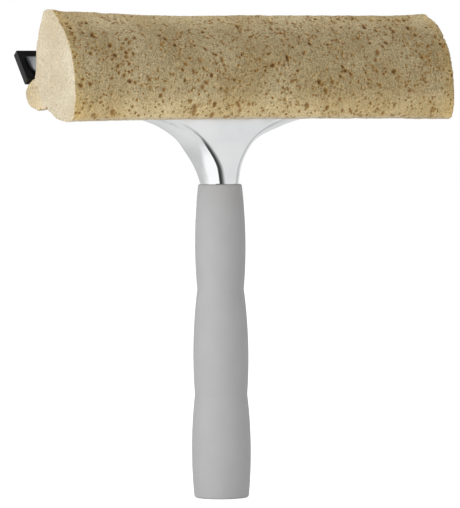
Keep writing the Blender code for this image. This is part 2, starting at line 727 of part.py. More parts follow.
def make_sponge(parts, cutters):
    half = SPONGE_LENGTH / 2
    rings = []
    for station in range(SPONGE_STATIONS + 1):
        x = half * (2 * station / SPONGE_STATIONS - 1)
        rings.append(sponge_ring(x))
    sponge = loft("sponge", rings, parts)
    smooth(sponge)
    for side, word in ((-1, "left"), (1, "right")):
        rings = [lobe_ring(x, side) for x in lobe_places()]
        boolean(sponge, loft(word + "_lobe", rings, cutters), "UNION")
    pocket = extruded("backing_pocket_cutter", backing_outline(GAP), BACKING_THICKNESS / 2 + OVERRUN, cutters)
    stand_front(pocket, BACKING_FRONT_Y - GAP + BACKING_THICKNESS / 2 + OVERRUN)
    cut(sponge, pocket)
    cut(sponge, stud_row(
        "socket_pockets", SOCKET_RADIUS + GAP, -SOCKET_DEPTH - GAP, OVERRUN, BACKING_FRONT_Y, cutters,
    ))
    sponge.data.materials.append(material("cellulose_sponge", (0.50, 0.38, 0.20), 0.95))
    return sponge


def grip_profile():
    """Outer line of the sleeve from its mouth down to its butt, in (radius, height)."""
    upper = GRIP_LENGTH * GRIP_UPPER_WAIST_SHARE
    lower = GRIP_LENGTH * GRIP_LOWER_WAIST_SHARE
    lobes = (
        (GRIP_MOUTH_RADIUS, GRIP_LENGTH - GRIP_EDGE_RADIUS, GRIP_UPPER_WAIST_RADIUS, upper),
        (GRIP_UPPER_WAIST_RADIUS, upper, GRIP_LOWER_WAIST_RADIUS, lower),
        (GRIP_LOWER_WAIST_RADIUS, lower, GRIP_BUTT_RADIUS, GRIP_EDGE_RADIUS),
    )
    points = []
    for step in range(ARC_STEPS):
        angle = QUARTER_TURN * step / ARC_STEPS
        points.append((
            GRIP_MOUTH_RADIUS - GRIP_EDGE_RADIUS * (1 - sin(angle)) / 2,
            GRIP_LENGTH - GRIP_EDGE_RADIUS * (1 - cos(angle)),
        ))
    for top_radius, top, bottom_radius, bottom in lobes:
        for step in range(LOBE_STEPS):
            t = step / LOBE_STEPS
            crown = GRIP_LOBE_CROWN * 4 * t * (1 - t)
            points.append((mix(top_radius, bottom_radius, t) + crown, mix(top, bottom, t)))
    for step in range(ARC_STEPS + 1):
        angle = QUARTER_TURN * step / ARC_STEPS
        points.append((
            GRIP_BUTT_RADIUS - GRIP_EDGE_RADIUS * (1 - cos(angle)),
            GRIP_EDGE_RADIUS * (1 - sin(angle)),
        ))
    return points


def make_grip_sleeve(parts):
    mouth_bore = SPIGOT_RADIUS + GAP
    core_bore = CORE_RADIUS + GAP
    plug_bore = PLUG_FLANGE_RADIUS + GAP
    inside = [
        (plug_bore, 0), (plug_bore, GRIP_BUTT_WALL - GAP), (core_bore, GRIP_BUTT_WALL - GAP),
        (core_bore, CORE_TOP), (mouth_bore, CORE_TOP), (mouth_bore, GRIP_LENGTH),
    ]
    sleeve = turned("grip_sleeve", grip_profile() + inside, parts)
    sleeve.data.materials.append(material("soft_grey_rubber", (0.42, 0.42, 0.42), 0.75))
    return sleeve


def make_handle_core(parts, cutters):
    through = BOLT_RADIUS + GAP
    seat_bore = WASHER_RADIUS + GAP
    profile = [
        (CORE_RADIUS, CORE_TOP), (CORE_RADIUS, GRIP_BUTT_WALL),
        (seat_bore, GRIP_BUTT_WALL), (seat_bore, BOLT_SEAT), (through, BOLT_SEAT), (through, CORE_TOP),
    ]
    core = turned("handle_core", profile, parts)
    pocket = loft("tang_pocket_cutter", [
        shank_ring(TANG_HALF_WIDTH - TANG_DRAFT + GAP, TANG_SQUARENESS, TANG_BOTTOM - GAP),
        shank_ring(TANG_HALF_WIDTH + GAP, TANG_SQUARENESS, CORE_TOP + GAP),
    ], cutters)
    cut(core, pocket)
    core.data.materials.append(material("grey_polypropylene", (0.10, 0.10, 0.11), 0.50))
    return core


def make_tang_bolt(parts, cutters):
    """Socket head bolt up the middle of the handle, with its washer."""
    head_top = BOLT_SEAT - WASHER_THICKNESS - GAP * 2
    head_low = head_top - BOLT_HEAD_HEIGHT
    bolt = turned("tang_bolt", [
        (0, BOLT_TIP), (BOLT_RADIUS, BOLT_TIP), (BOLT_RADIUS, head_top),
        (BOLT_HEAD_RADIUS, head_top), (BOLT_HEAD_RADIUS, head_low), (0, head_low),
    ], parts, SMALL_SIDES)
    socket = turned(
        "bolt_socket_cutter",
        cylinder_profile(BOLT_SOCKET_RADIUS, head_low - OVERRUN, head_low + BOLT_SOCKET_DEPTH),
        cutters,
        HEX_SIDES,
    )
    cut(bolt, socket)
    washer_low = head_top + GAP
    washer_high = washer_low + WASHER_THICKNESS
    washer = turned("tang_washer", [
        (WASHER_RADIUS, washer_high), (WASHER_RADIUS, washer_low),
        (BOLT_RADIUS + GAP, washer_low), (BOLT_RADIUS + GAP, washer_high),
    ], parts, SMALL_SIDES)
    steel = material("bolt_steel", (0.45, 0.45, 0.46), 0.35, 1.0)
    for thing in (bolt, washer):
        thing.data.materials.append(steel)
    return bolt, washer


def make_butt_plug(parts):
    spigot = WASHER_RADIUS
    top = GRIP_BUTT_WALL - GAP + PLUG_SPIGOT_LENGTH
    plug = turned("butt_plug", [
        (0, top), (spigot, top), (spigot, PLUG_FLANGE_HEIGHT),
        (PLUG_FLANGE_RADIUS, PLUG_FLANGE_HEIGHT), (PLUG_FLANGE_RADIUS, 0), (0, 0),
    ], parts)
    plug.data.materials.append(material("plug_rubber", (0.34, 0.34, 0.34), 0.75))
    return plug


def carry(name, place, pieces, collection):
    """Empty on a slide's line, which the pieces that move together hang from."""
    guide = bpy.data.objects.new(name, None)
    guide.location = place
    collection.objects.link(guide)
    bpy.context.view_layer.update()
    for piece in pieces:
        world = piece.matrix_world.copy()
        piece.parent = guide
        piece.matrix_parent_inverse = guide.matrix_world.inverted()
        piece.matrix_world = world


def build():
    clear_scene()
    parts = new_collection(PARTS_NAME)
    cutters = new_collection(CUTTERS_NAME)
    make_head_casting(parts, cutters)
    make_clamp_jaw(parts, cutters)
    make_jaw_screws(parts, cutters)
    blade = make_rubber_blade(parts)
    make_sponge_studs(parts)
    backing = make_sponge_backing(parts, cutters)
    sponge = make_sponge(parts, cutters)
    make_handle_core(parts, cutters)
    make_grip_sleeve(parts)
    make_tang_bolt(parts, cutters)
    make_butt_plug(parts)
    carry("sponge_pull", (0, SPONGE_BACK_Y, STUD_HEIGHT), [sponge, backing], parts)
    carry("blade_slide", (BLADE_FOOT + BLADE_TIP) / 2, [blade], parts)


build()
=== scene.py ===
"""Looks of the window squeegee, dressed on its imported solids.

Everything is in metres, +Z up. The grip stands on its butt at the origin, the head
runs along X, the sponge faces -Y and the rubber blade leans back towards +Y.
"""

import logging
from dataclasses import dataclass, field
from enum import Enum
from math import atan2, cos, pi, radians, sin, tan

import bmesh
import bpy
import numpy as np
from mathutils import Matrix, Vector, kdtree, noise


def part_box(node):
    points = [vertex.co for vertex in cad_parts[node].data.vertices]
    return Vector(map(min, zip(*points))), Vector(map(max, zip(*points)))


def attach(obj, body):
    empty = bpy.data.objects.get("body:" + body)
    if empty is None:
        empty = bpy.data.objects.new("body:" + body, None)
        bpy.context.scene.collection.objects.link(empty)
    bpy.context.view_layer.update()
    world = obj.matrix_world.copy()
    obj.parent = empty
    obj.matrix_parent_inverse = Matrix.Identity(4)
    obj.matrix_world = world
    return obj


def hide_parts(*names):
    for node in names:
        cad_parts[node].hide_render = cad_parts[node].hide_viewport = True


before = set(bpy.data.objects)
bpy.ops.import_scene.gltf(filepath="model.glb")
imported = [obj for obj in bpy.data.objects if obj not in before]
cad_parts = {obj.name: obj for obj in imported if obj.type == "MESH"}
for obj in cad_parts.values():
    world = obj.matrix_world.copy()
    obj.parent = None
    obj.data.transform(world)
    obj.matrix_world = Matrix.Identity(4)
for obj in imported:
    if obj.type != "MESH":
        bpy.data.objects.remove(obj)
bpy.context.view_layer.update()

LOG = logging.getLogger("squeegee")
MM = 0.001
QUARTER_TURN = pi / 2
DIGITS = 6  # Lengths that agree to a micrometre count as equal.
TINY = 1e-12
BAR_SIDES = 32

# A Mix node's inputs for numbers, vectors and colours, and its outputs.
NUMBER_A, NUMBER_B, VECTOR_A, VECTOR_B, COLOUR_A, COLOUR_B = range(2, 8)
NUMBER, VECTOR, COLOUR = range(3)

Thing = bpy.types.Object
Mesh = bpy.types.Mesh
Material = bpy.types.Material
Tree = bpy.types.NodeTree
Node = bpy.types.Node
Socket = bpy.types.NodeSocket
Pair = tuple[float, float]
Triple = tuple[float, float, float]
Four = tuple[float, float, float, float]


# Colour and node helpers

def linear(code: str) -> Four:
    """Turns an sRGB hex colour into the linear colour that shaders read.

    Args:
        code: Six hex digits, with or without a leading #.

    Returns:
        Red, green, blue and alpha, each from 0 to 1.
    """
    digits = code.lstrip("#")
    channels = [int(digits[i:i + 2], 16) / 255 for i in (0, 2, 4)]
    return (*[c / 12.92 if c <= 0.04045 else ((c + 0.055) / 1.055) ** 2.4 for c in channels], 1.0)


def grey(level: float) -> Four:
    """Linear grey of that brightness."""
    return (level, level, level, 1.0)


def per_metre(size_mm: float) -> float:
    """Scale of a texture whose cells measure that many millimetres."""
    return 1.0 / (size_mm * MM)


def span(limits: tuple[float, ...]) -> dict[str, float]:
    """Values of a range node: where it starts and ends and, if given, what these become."""
    return dict(zip(("From Min", "From Max", "To Min", "To Max"), limits))


def add_node(tree: Tree, kind: str, inputs: dict | None = None, **settings: object) -> Node:
    """Adds a node with its settings, values and links.

    Args:
        tree: Node tree that gets the node.
        kind: Blender's type name of the node, without the ShaderNode that all start with.
        inputs: Socket name or index, to a value or to the output socket that feeds it.
        settings: Properties of the node itself.

    Returns:
        The new node.
    """
    node = tree.nodes.new("ShaderNode" + kind)
    for name, value in settings.items():
        setattr(node, name, value)
    for name, value in (inputs or {}).items():
        socket = node.inputs[name]
        if isinstance(value, Socket):
            tree.links.new(value, socket)
        else:
            socket.default_value = value
    return node


def set_ramp(node: Node, stops: list[tuple[float, Four]]) -> None:
    """Gives a colour ramp node its stops.

    Args:
        node: Colour ramp node.
        stops: Position and linear colour of each stop, in rising order.
    """
    elements = node.color_ramp.elements
    while len(elements) < len(stops):
        elements.new(1.0)
    for element, (position, colour) in zip(elements, stops):
        element.position = position
        element.color = colour


def new_material(name: str, **values: object) -> tuple[Material, Tree, Node, Socket]:
    """Makes a material with one Principled shader.

    Args:
        name: Material's name.
        values: Sockets of the shader, with underscores for spaces.

    Returns:
        The material, its node tree, the shader node and the object's coordinates in metres.
    """
    material = bpy.data.materials.new(name)
    material.use_nodes = True
    tree = material.node_tree
    shader = tree.nodes["Principled BSDF"]
    for socket, value in values.items():
        shader.inputs[socket.replace("_", " ")].default_value = value
    return material, tree, shader, add_node(tree, "TexCoord").outputs["Object"]


def two_tones(tree: Tree, cloud: Socket, low: str, high: str, stops: Pair = (0.35, 0.65)) -> Socket:
    """Colour that drifts between two tones in clouds.

    Args:
        tree: Node tree of the material.
        cloud: The clouds' noise, from 0 to 1.
        low: Tone up to the first stop.
        high: Tone from the second stop.
        stops: Values of the noise between which the tone changes.

    Returns:
        The colour.
    """
    ramp = add_node(tree, "ValToRGB", {"Fac": cloud})
    set_ramp(ramp, list(zip(stops, (linear(low), linear(high)))))
    return ramp.outputs["Color"]


def drawn_lines(tree: Tree, place: Socket, size_mm: float, along: Triple, detail: float) -> Socket:
    """Fine lines that a mop, a brush or a die drew along the surface.

    Args:
        tree: Node tree of the material.
        place: Coordinates in metres.
        size_mm: Distance between lines.
        along: Scale on each axis, which is small along the lines.
        detail: Octaves of finer lines between them.

    Returns:
        The lines' pattern, from 0 to 1.
    """
    stretch = add_node(tree, "Mapping", {"Vector": place, "Scale": along})
    return add_node(tree, "TexNoise", {
        "Vector": stretch.outputs["Vector"], "Scale": per_metre(size_mm), "Detail": detail,
    }).outputs["Fac"]


def add_bump(tree: Tree, shader: Node, height: Socket, depth_mm: float, strength: float,
             under: Socket | None = None) -> Socket:
    """Feeds a height pattern into the shader's normal.

    Args:
        tree: Node tree of the material.
        shader: Shader whose Normal socket is fed.
        height: Pattern, from 0 to 1.
        depth_mm: Real depth of the pattern.
        strength: How much of the relief shows.
        under: Normal of another bump that this one adds to.

    Returns:
        The bump's normal.
    """
    inputs = {"Height": height, "Distance": depth_mm * MM, "Strength": strength}
    if under is not None:
        inputs["Normal"] = under
    bump = add_node(tree, "Bump", inputs)
    tree.links.new(bump.outputs["Normal"], shader.inputs["Normal"])
    return bump.outputs["Normal"]


# Finishes. Each relief is a depth in millimetres and the strength that shows.

@dataclass(frozen=True)
class PolishedAluminium:
    """Die-cast aluminium, its neck polished on a soft mop and its wings rougher, nearly as cast,
    with painted shade that makes their ends a darker grey.
    """

    name: str = "polished_cast_aluminium"
    colour: str = "#F4F5F5"
    worn: str = "#E9EAEB"
    # Painted shade: the darker grey of the wing ends, in the shade of the sponge and blade.
    wing_end_shade: str = "#9FA1A3"
    roughness: Pair = (0.10, 0.17)
    arm_roughness: float = 0.30
    cast_roughness: float = 0.42
    mirror_to: Pair = (17.0 * MM, 36.0 * MM)
    polished_to: Pair = (72.0 * MM, 100.0 * MM)
    drift_mm: float = 26.0
    scratch_mm: float = 0.9
    along: Triple = (1.0, 1.0, 0.12)
    relief: Pair = (0.003, 0.3)

    def build(self) -> Material:
        """Mirror-like but not perfect: broad reflections, faint mop lines, and rougher wing ends
        with painted shade.

        Returns:
            The material.
        """
        material, tree, shader, place = new_material(self.name, Metallic=1.0)
        drift = add_node(tree, "TexNoise", {
            "Vector": place, "Scale": per_metre(self.drift_mm), "Detail": 3.0,
        }).outputs["Fac"]
        across = add_node(tree, "SeparateXYZ", {0: place}).outputs["X"]
        outward = add_node(tree, "Math", {0: across}, operation="ABSOLUTE").outputs[0]
        softer, rough_and_shaded = (
            add_node(tree, "MapRange", {"Value": outward, **span(limits)}).outputs["Result"]
            for limits in (self.mirror_to, self.polished_to)
        )
        tint = two_tones(tree, drift, self.worn, self.colour)
        # Painted shade darkens the wing ends, which are also rougher.
        colour = add_node(tree, "Mix", {
            "Factor": rough_and_shaded, COLOUR_A: tint, COLOUR_B: linear(self.wing_end_shade),
        }, data_type="RGBA").outputs[COLOUR]
        tree.links.new(colour, shader.inputs["Base Color"])
        lines = drawn_lines(tree, place, self.scratch_mm, self.along, detail=4.0)
        rough = add_node(tree, "MapRange", {
            "Value": lines, **span((0.0, 1.0, *self.roughness)),
        }).outputs["Result"]
        for share, rougher in ((softer, self.arm_roughness), (rough_and_shaded, self.cast_roughness)):
            rough = add_node(tree, "Mix", {
                "Factor": share, NUMBER_A: rough, NUMBER_B: rougher,
            }, data_type="FLOAT").outputs[NUMBER]
        tree.links.new(rough, shader.inputs["Roughness"])
        add_bump(tree, shader, lines, *self.relief)
        return material


@dataclass(frozen=True)
class BrushedStainless:
    """Stainless strip or turned stainless, with the grain of its brushing."""

    name: str = "brushed_stainless"
    colour: str = "#C9C8C4"
    roughness: Pair = (0.24, 0.42)
    grain_mm: float = 0.35
    along: Triple = (0.02, 1.0, 1.0)
    relief: Pair = (0.006, 0.5)

    def build(self) -> Material:
        """Fine lines along the strip, which break the reflection across them.

        Returns:
            The material.
        """
        material, tree, shader, place = new_material(
            self.name, Metallic=1.0, Base_Color=linear(self.colour),
        )
        grain = drawn_lines(tree, place, self.grain_mm, self.along, detail=3.0)
        rough = add_node(tree, "MapRange", {"Value": grain, **span((0.0, 1.0, *self.roughness))})
        tree.links.new(rough.outputs["Result"], shader.inputs["Roughness"])
        add_bump(tree, shader, grain, *self.relief)
        return material


@dataclass(frozen=True)
class BlackRubber:
    """Natural rubber strip, extruded and cut, for the wiping blade."""

    name: str = "extruded_black_rubber"
    colour: str = "#0C0C0D"
    bloom: str = "#141416"
    stops: Pair = (0.40, 0.75)
    roughness: float = 0.46
    bloom_mm: float = 9.0
    draw_mm: float = 0.7
    along: Triple = (0.03, 1.0, 1.0)
    relief: Pair = (0.02, 0.4)

    def build(self) -> Material:
        """Deep black with a faint grey bloom, and draw lines along the strip.

        Returns:
            The material.
        """
        material, tree, shader, place = new_material(self.name, Roughness=self.roughness, IOR=1.52)
        bloom = add_node(tree, "TexNoise", {
            "Vector": place, "Scale": per_metre(self.bloom_mm), "Detail": 4.0,
        }).outputs["Fac"]
        tint = two_tones(tree, bloom, self.colour, self.bloom, self.stops)
        tree.links.new(tint, shader.inputs["Base Color"])
        lines = drawn_lines(tree, place, self.draw_mm, self.along, detail=2.0)
        add_bump(tree, shader, lines, *self.relief)
        return material


@dataclass(frozen=True)
class SoftGripRubber:
    """Thermoplastic rubber, injection moulded over the core with a fine spark texture."""

    name: str = "moulded_soft_grey_rubber"
    colour: str = "#B8B8B9"
    shade: str = "#B5B5B6"
    roughness: float = 0.62
    cloud_mm: float = 14.0
    spark_mm: float = 0.55
    relief: Pair = (0.03, 0.5)

    def build(self) -> Material:
        """Matt and even, with a soft sheen where the light grazes it.

        Returns:
            The material.
        """
        material, tree, shader, place = new_material(
            self.name, Roughness=self.roughness, IOR=1.48, Sheen_Weight=0.12, Sheen_Roughness=0.5,
        )
        cloud, spark = (
            add_node(tree, "TexNoise", {
                "Vector": place, "Scale": per_metre(size_mm), "Detail": detail,
            }).outputs["Fac"]
            for size_mm, detail in ((self.cloud_mm, 3.0), (self.spark_mm, 2.0))
        )
        tint = two_tones(tree, cloud, self.shade, self.colour)
        tree.links.new(tint, shader.inputs["Base Color"])
        add_bump(tree, shader, spark, *self.relief)
        return material


@dataclass(frozen=True)
class MouldedPlastic:
    """Hard plastic, injection moulded: ABS unless the part names another."""

    name: str = "moulded_grey_abs"
    colour: str = "#7C7D80"
    shade: str = "#727376"
    roughness: float = 0.42
    flow_mm: float = 18.0
    relief: Pair = (0.01, 0.3)

    def build(self) -> Material:
        """Even and slightly glossy, with weak flow marks.

        Returns:
            The material.
        """
        material, tree, shader, place = new_material(self.name, Roughness=self.roughness, IOR=1.53)
        flow = add_node(tree, "TexNoise", {
            "Vector": place, "Scale": per_metre(self.flow_mm), "Distortion": 1.2,
        }).outputs["Fac"]
        tint = two_tones(tree, flow, self.shade, self.colour)
        tree.links.new(tint, shader.inputs["Base Color"])
        add_bump(tree, shader, flow, *self.relief)
        return material


@dataclass(frozen=True)
class OpenCellFoam:
    """Polyurethane sponge, foamed with coarse bubbles and cut at its ends."""

    name: str = "open_cell_sponge"
    body: str = "#B09B70"
    light: str = "#BEAC84"
    # Painted shade inside the bubbles: the deep tone in their middles and the golden one nearer
    # their edges.
    deep: str = "#4E2E0A"
    pit_rim_shade: str = "#A2742C"
    sheen: str = "#FFF3DC"
    stops: Pair = (0.38, 0.62)
    roughness: float = 0.95
    cloud_mm: float = 22.0
    grain_mm: float = 0.8
    # Painted light by height: paler low down and near the top, duller in between. The first number
    # of each pair is a share of the way up.
    tones: tuple[Pair, ...] = (
        (0.0, 1.62), (0.05, 1.56), (0.13, 1.42), (0.27, 1.06),
        (0.60, 0.92), (0.80, 0.92), (0.90, 1.21), (0.97, 1.33),
    )
    from_z: float = 200.0 * MM
    to_z: float = 256.0 * MM
    # Towards each end the skin takes the pale fringe's colour.
    fringe: str = "#C4A563"
    fringed: Four = (104.0 * MM, 113.5 * MM, 0.0, 0.40)
    cut_face: str = "#DFD3BA"
    cut_shade: str = "#D3C4A6"
    # What the grain's noise becomes as brightness, on the skin and on the cut ends.
    speckle: Four = (0.30, 0.70, 0.55, 1.36)
    cut_speckle: Four = (0.30, 0.70, 0.77, 1.14)
    # Near the lower edge the speckle calms down, and painted light from below makes the pits less
    # dark.
    # Each is a share of the height and the amount at the edge.
    calm: Pair = (0.35, 0.45)
    lit: Pair = (0.42, 0.15)
    # How deep a point lies in its pit, to how much painted shade it takes: the golden tone near its
    # edge and the deep tone.
    golden_pit: Four = (0.06, 0.50, 0.0, 0.72)
    dark_pit: Four = (0.38, 0.85, 0.0, 0.95)
    # Bubbles too small for the mesh, with painted shade: their spacing, sizes, edge and bend, and
    # the share of them that the cut ends lose.
    pore_mm: float = 1.9
    pore_sizes: Four = (0.35, 1.0, 0.02, 0.42)
    pore_edge: Pair = (-0.03, 0.10)
    pore_bend: float = 0.0008
    closed_by_cut: float = 0.72
    pore_relief: Pair = (0.6, 0.8)
    grain_relief: Pair = (0.35, 0.7)

    def build(self) -> Material:
        """Dry and matt. Pits darken to brown inside as painted shade, and the cut ends are paler
        and closer.

        Returns:
            The material.
        """
        material, tree, shader, place = new_material(
            self.name, Roughness=self.roughness, Sheen_Weight=0.25, Sheen_Roughness=0.6,
            Sheen_Tint=linear(self.sheen), Specular_IOR_Level=0.2,
        )
        pit, cut = (
            add_node(tree, "Attribute", attribute_name=name).outputs["Fac"]
            for name in (Sponge.PIT, Sponge.CUT)
        )
        axes = add_node(tree, "SeparateXYZ", {0: place}).outputs
        grain = add_node(tree, "TexNoise", {
            "Vector": place, "Scale": per_metre(self.grain_mm), "Detail": 2.0,
        }).outputs["Fac"]
        ground = add_node(tree, "VectorMath", {
            0: self.ground(tree, place, axes["X"], cut),
            "Scale": self.level(tree, axes["Z"], grain, cut),
        }, operation="SCALE").outputs[0]
        closed = add_node(tree, "Math", {0: cut, 1: -self.closed_by_cut}, operation="MULTIPLY")
        still_open = add_node(tree, "Math", {0: closed.outputs[0], 1: 1.0}, operation="ADD")
        pores = add_node(tree, "Math", {
            0: self.small_pores(tree, place), 1: still_open.outputs[0],
        }, operation="MULTIPLY").outputs[0]
        golden, depth = (
            add_node(tree, "MapRange", {"Value": pit, **span(limits)}).outputs["Result"]
            for limits in (self.golden_pit, self.dark_pit)
        )
        # Painted light from below: the pits' shade weakens towards the lower edge.
        up_to, least = self.lit
        shaded = add_node(tree, "MapRange", {
            "Value": axes["Z"], **span((self.from_z, mix(self.from_z, self.to_z, up_to), least)),
        }).outputs["Result"]
        dark = add_node(tree, "Math", {0: depth, 1: shaded}, operation="MULTIPLY").outputs[0]
        # Painted shade: small bubbles and pit edges take the golden tone, pit middles the deep one.
        for share, tone in ((pores, self.pit_rim_shade), (golden, self.pit_rim_shade), (dark, self.deep)):
            ground = add_node(tree, "Mix", {
                "Factor": share, COLOUR_A: ground, COLOUR_B: linear(tone),
            }, data_type="RGBA").outputs[COLOUR]
        tree.links.new(ground, shader.inputs["Base Color"])
        relief = add_node(tree, "Math", {0: 1.0, 1: pores}, operation="SUBTRACT").outputs[0]
        first = add_bump(tree, shader, relief, *self.pore_relief)
        add_bump(tree, shader, grain, *self.grain_relief, under=first)
        return material

    def ground(self, tree: Tree, place: Socket, across: Socket, cut: Socket) -> Socket:
        """Colour between the bubbles, before it gets its grain.

        Args:
            tree: Node tree of the material.
            place: Coordinates in metres.
            across: Distance along the head, with its sign.
            cut: 1 on a cut end and 0 on the skin.

        Returns:
            The colour.
        """
        cloud = add_node(tree, "TexNoise", {
            "Vector": place, "Scale": per_metre(self.cloud_mm), "Detail": 4.0,
        }).outputs["Fac"]
        outward = add_node(tree, "Math", {0: across}, operation="ABSOLUTE").outputs[0]
        near_end = add_node(tree, "MapRange", {
            "Value": outward, **span(self.fringed),
        }, interpolation_type="SMOOTHSTEP").outputs["Result"]
        body = two_tones(tree, cloud, self.body, self.light, self.stops)
        ends = two_tones(tree, cloud, self.cut_shade, self.cut_face, self.stops)
        for share, tone in ((near_end, linear(self.fringe)), (cut, ends)):
            body = add_node(tree, "Mix", {
                "Factor": share, COLOUR_A: body, COLOUR_B: tone,
            }, data_type="RGBA").outputs[COLOUR]
        return body

    def level(self, tree: Tree, height: Socket, grain: Socket, cut: Socket) -> Socket:
        """Brightness of the foam, with painted light: pale low down, duller on the front's middle,
        lighter near the top.

        Args:
            tree: Node tree of the material.
            height: Height in metres.
            grain: Fine noise, from 0 to 1.
            cut: 1 on a cut end and 0 on the skin.

        Returns:
            A factor near 1.
        """
        speckle, weak = (
            add_node(tree, "MapRange", {"Value": grain, **span(limits)}).outputs["Result"]
            for limits in (self.speckle, self.cut_speckle)
        )
        up_to, most = self.calm
        calm = add_node(tree, "MapRange", {
            "Value": height, **span((self.from_z, mix(self.from_z, self.to_z, up_to), most, 0.0)),
        }).outputs["Result"]
        speckle = add_node(tree, "Mix", {
            "Factor": calm, NUMBER_A: speckle, NUMBER_B: 1.0,
        }, data_type="FLOAT").outputs[NUMBER]
        # Painted light: brightness of the skin by its height.
        way_up = add_node(tree, "MapRange", {"Value": height, **span((self.from_z, self.to_z))})
        ramp = add_node(tree, "ValToRGB", {"Fac": way_up.outputs["Result"]})
        # The ramp holds half of each tone, which keeps it within 1.
        set_ramp(ramp, [(stop, grey(tone / 2)) for stop, tone in self.tones])
        tone = add_node(tree, "Math", {0: ramp.outputs["Color"], 1: 2.0}, operation="MULTIPLY")
        toned = add_node(tree, "Math", {
            0: speckle, 1: tone.outputs[0],
        }, operation="MULTIPLY").outputs[0]
        return add_node(tree, "Mix", {
            "Factor": cut, NUMBER_A: toned, NUMBER_B: weak,
        }, data_type="FLOAT").outputs[NUMBER]

    def small_pores(self, tree: Tree, place: Socket) -> Socket:
        """Bubbles too small for the mesh, of many sizes.

        Args:
            tree: Node tree of the material.
            place: Coordinates in metres.

        Returns:
            1 in a bubble and 0 between bubbles.
        """
        warp = add_node(tree, "TexNoise", {"Vector": place, "Scale": per_metre(self.grain_mm * 2)})
        bent = add_node(tree, "Mix", {
            "Factor": self.pore_bend, VECTOR_A: place, VECTOR_B: warp.outputs["Color"],
        }, data_type="VECTOR").outputs[VECTOR]
        cells = add_node(tree, "TexVoronoi", {"Vector": bent, "Scale": per_metre(self.pore_mm)})
        size = add_node(tree, "SeparateColor", {"Color": cells.outputs["Color"]}).outputs["Red"]
        radius = add_node(tree, "MapRange", {"Value": size, **span(self.pore_sizes)})
        inside = add_node(tree, "Math", {
            0: radius.outputs["Result"], 1: cells.outputs["Distance"],
        }, operation="SUBTRACT").outputs[0]
        shown = add_node(tree, "MapRange", {"Value": inside, **span(self.pore_edge)})
        return shown.outputs["Result"]


# Mesh helpers

def smooth_closed(points: list[Vector], per_span: int) -> list[Vector]:
    """Catmull-Rom curve through a closed ring of points.

    Args:
        points: The ring, in order.
        per_span: Points that each span between two of them gets.

    Returns:
        The finer ring.
    """
    count = len(points)
    finer = []
    for i in range(count):
        before, start, end, after = (points[(i + k) % count] for k in (-1, 0, 1, 2))
        for step in range(per_span):
            t = step / per_span
            finer.append(0.5 * (
                2 * start + (end - before) * t + (2 * before - 5 * start + 4 * end - after) * t * t
                + (3 * start - before - 3 * end + after) * t * t * t
            ))
    return finer


def link_object(name: str, data: bpy.types.ID) -> Thing:
    """Makes an object and links it to the scene.

    Args:
        name: Object's name.
        data: Its mesh, lamp or camera.

    Returns:
        The object.
    """
    thing = bpy.data.objects.new(name, data)
    bpy.context.scene.collection.objects.link(thing)
    return thing


def add_bar(shape: bmesh.types.BMesh, start: Vector, end: Vector, radius: float) -> None:
    """Adds a round bar from one point to another.

    Args:
        shape: Shape that gets the bar.
        start: Middle of one end.
        end: Middle of the other end.
        radius: The bar's radius.
    """
    way = end - start
    turn = way.to_track_quat("Z", "Y").to_matrix().to_4x4()
    bmesh.ops.create_cone(
        shape, cap_ends=True, segments=BAR_SIDES, radius1=radius, radius2=radius,
        depth=way.length, matrix=Matrix.Translation((start + end) / 2) @ turn,
    )


def cut_away(thing: Thing, cutter: Thing) -> None:
    """Cuts one object's volume out of another and removes the cutter.

    Args:
        thing: Object that stays.
        cutter: Object that goes.
    """
    step = thing.modifiers.new("cut", "BOOLEAN")
    step.object = cutter
    step.solver = "EXACT"
    apply_modifiers(thing)
    bpy.data.objects.remove(cutter)


def apply_modifiers(thing: Thing) -> None:
    """Bakes an object's modifiers into its mesh.

    Args:
        thing: The object, which has none left after it.
    """
    graph = bpy.context.evaluated_depsgraph_get()
    mesh = bpy.data.meshes.new_from_object(thing.evaluated_get(graph))
    thing.modifiers.clear()
    old = thing.data
    thing.data = mesh
    bpy.data.meshes.remove(old)


def loft(name: str, rings: list[list[Vector]]) -> Thing:
    """Closed mesh through rings of equal counts, capped at both ends.

    Args:
        name: Object's name.
        rings: The sections, from one end to the other.

    Returns:
        The new object, linked to the scene.
    """
    count = len(rings[0])
    points = [point for ring in rings for point in ring]
    faces = []
    for level in range(len(rings) - 1):
        low, high = level * count, (level + 1) * count
        faces += [
            (low + i, low + (i + 1) % count, high + (i + 1) % count, high + i) for i in range(count)
        ]
    faces.append(tuple(reversed(range(count))))
    faces.append(tuple(range(len(points) - count, len(points))))
    mesh = bpy.data.meshes.new(name)
    mesh.from_pydata(points, [], faces)
    mesh.update()
    shape = bmesh.new()
    shape.from_mesh(mesh)
    bmesh.ops.recalc_face_normals(shape, faces=shape.faces)
    shape.to_mesh(mesh)
    shape.free()
    return link_object(name, mesh)


def turned(name: str, profile: list[Pair], sides: int) -> Thing:
    """Mesh turned about Z.

    Args:
        name: Object's name.
        profile: Closed line of (radius, height), which runs down on the outside.
        sides: Points round each ring.

    Returns:
        The new object, linked to the scene.
    """
    angles = [2 * pi * i / sides for i in range(sides)]
    points = [
        (radius * cos(angle), radius * sin(angle), height)
        for radius, height in profile for angle in angles
    ]
    faces = []
    for level in range(len(profile)):
        low, high = level * sides, ((level + 1) % len(profile)) * sides
        faces += [
            (high + i, high + (i + 1) % sides, low + (i + 1) % sides, low + i) for i in range(sides)
        ]
    mesh = bpy.data.meshes.new(name)
    mesh.from_pydata(points, [], faces)
    mesh.shade_smooth()
    return link_object(name, mesh)


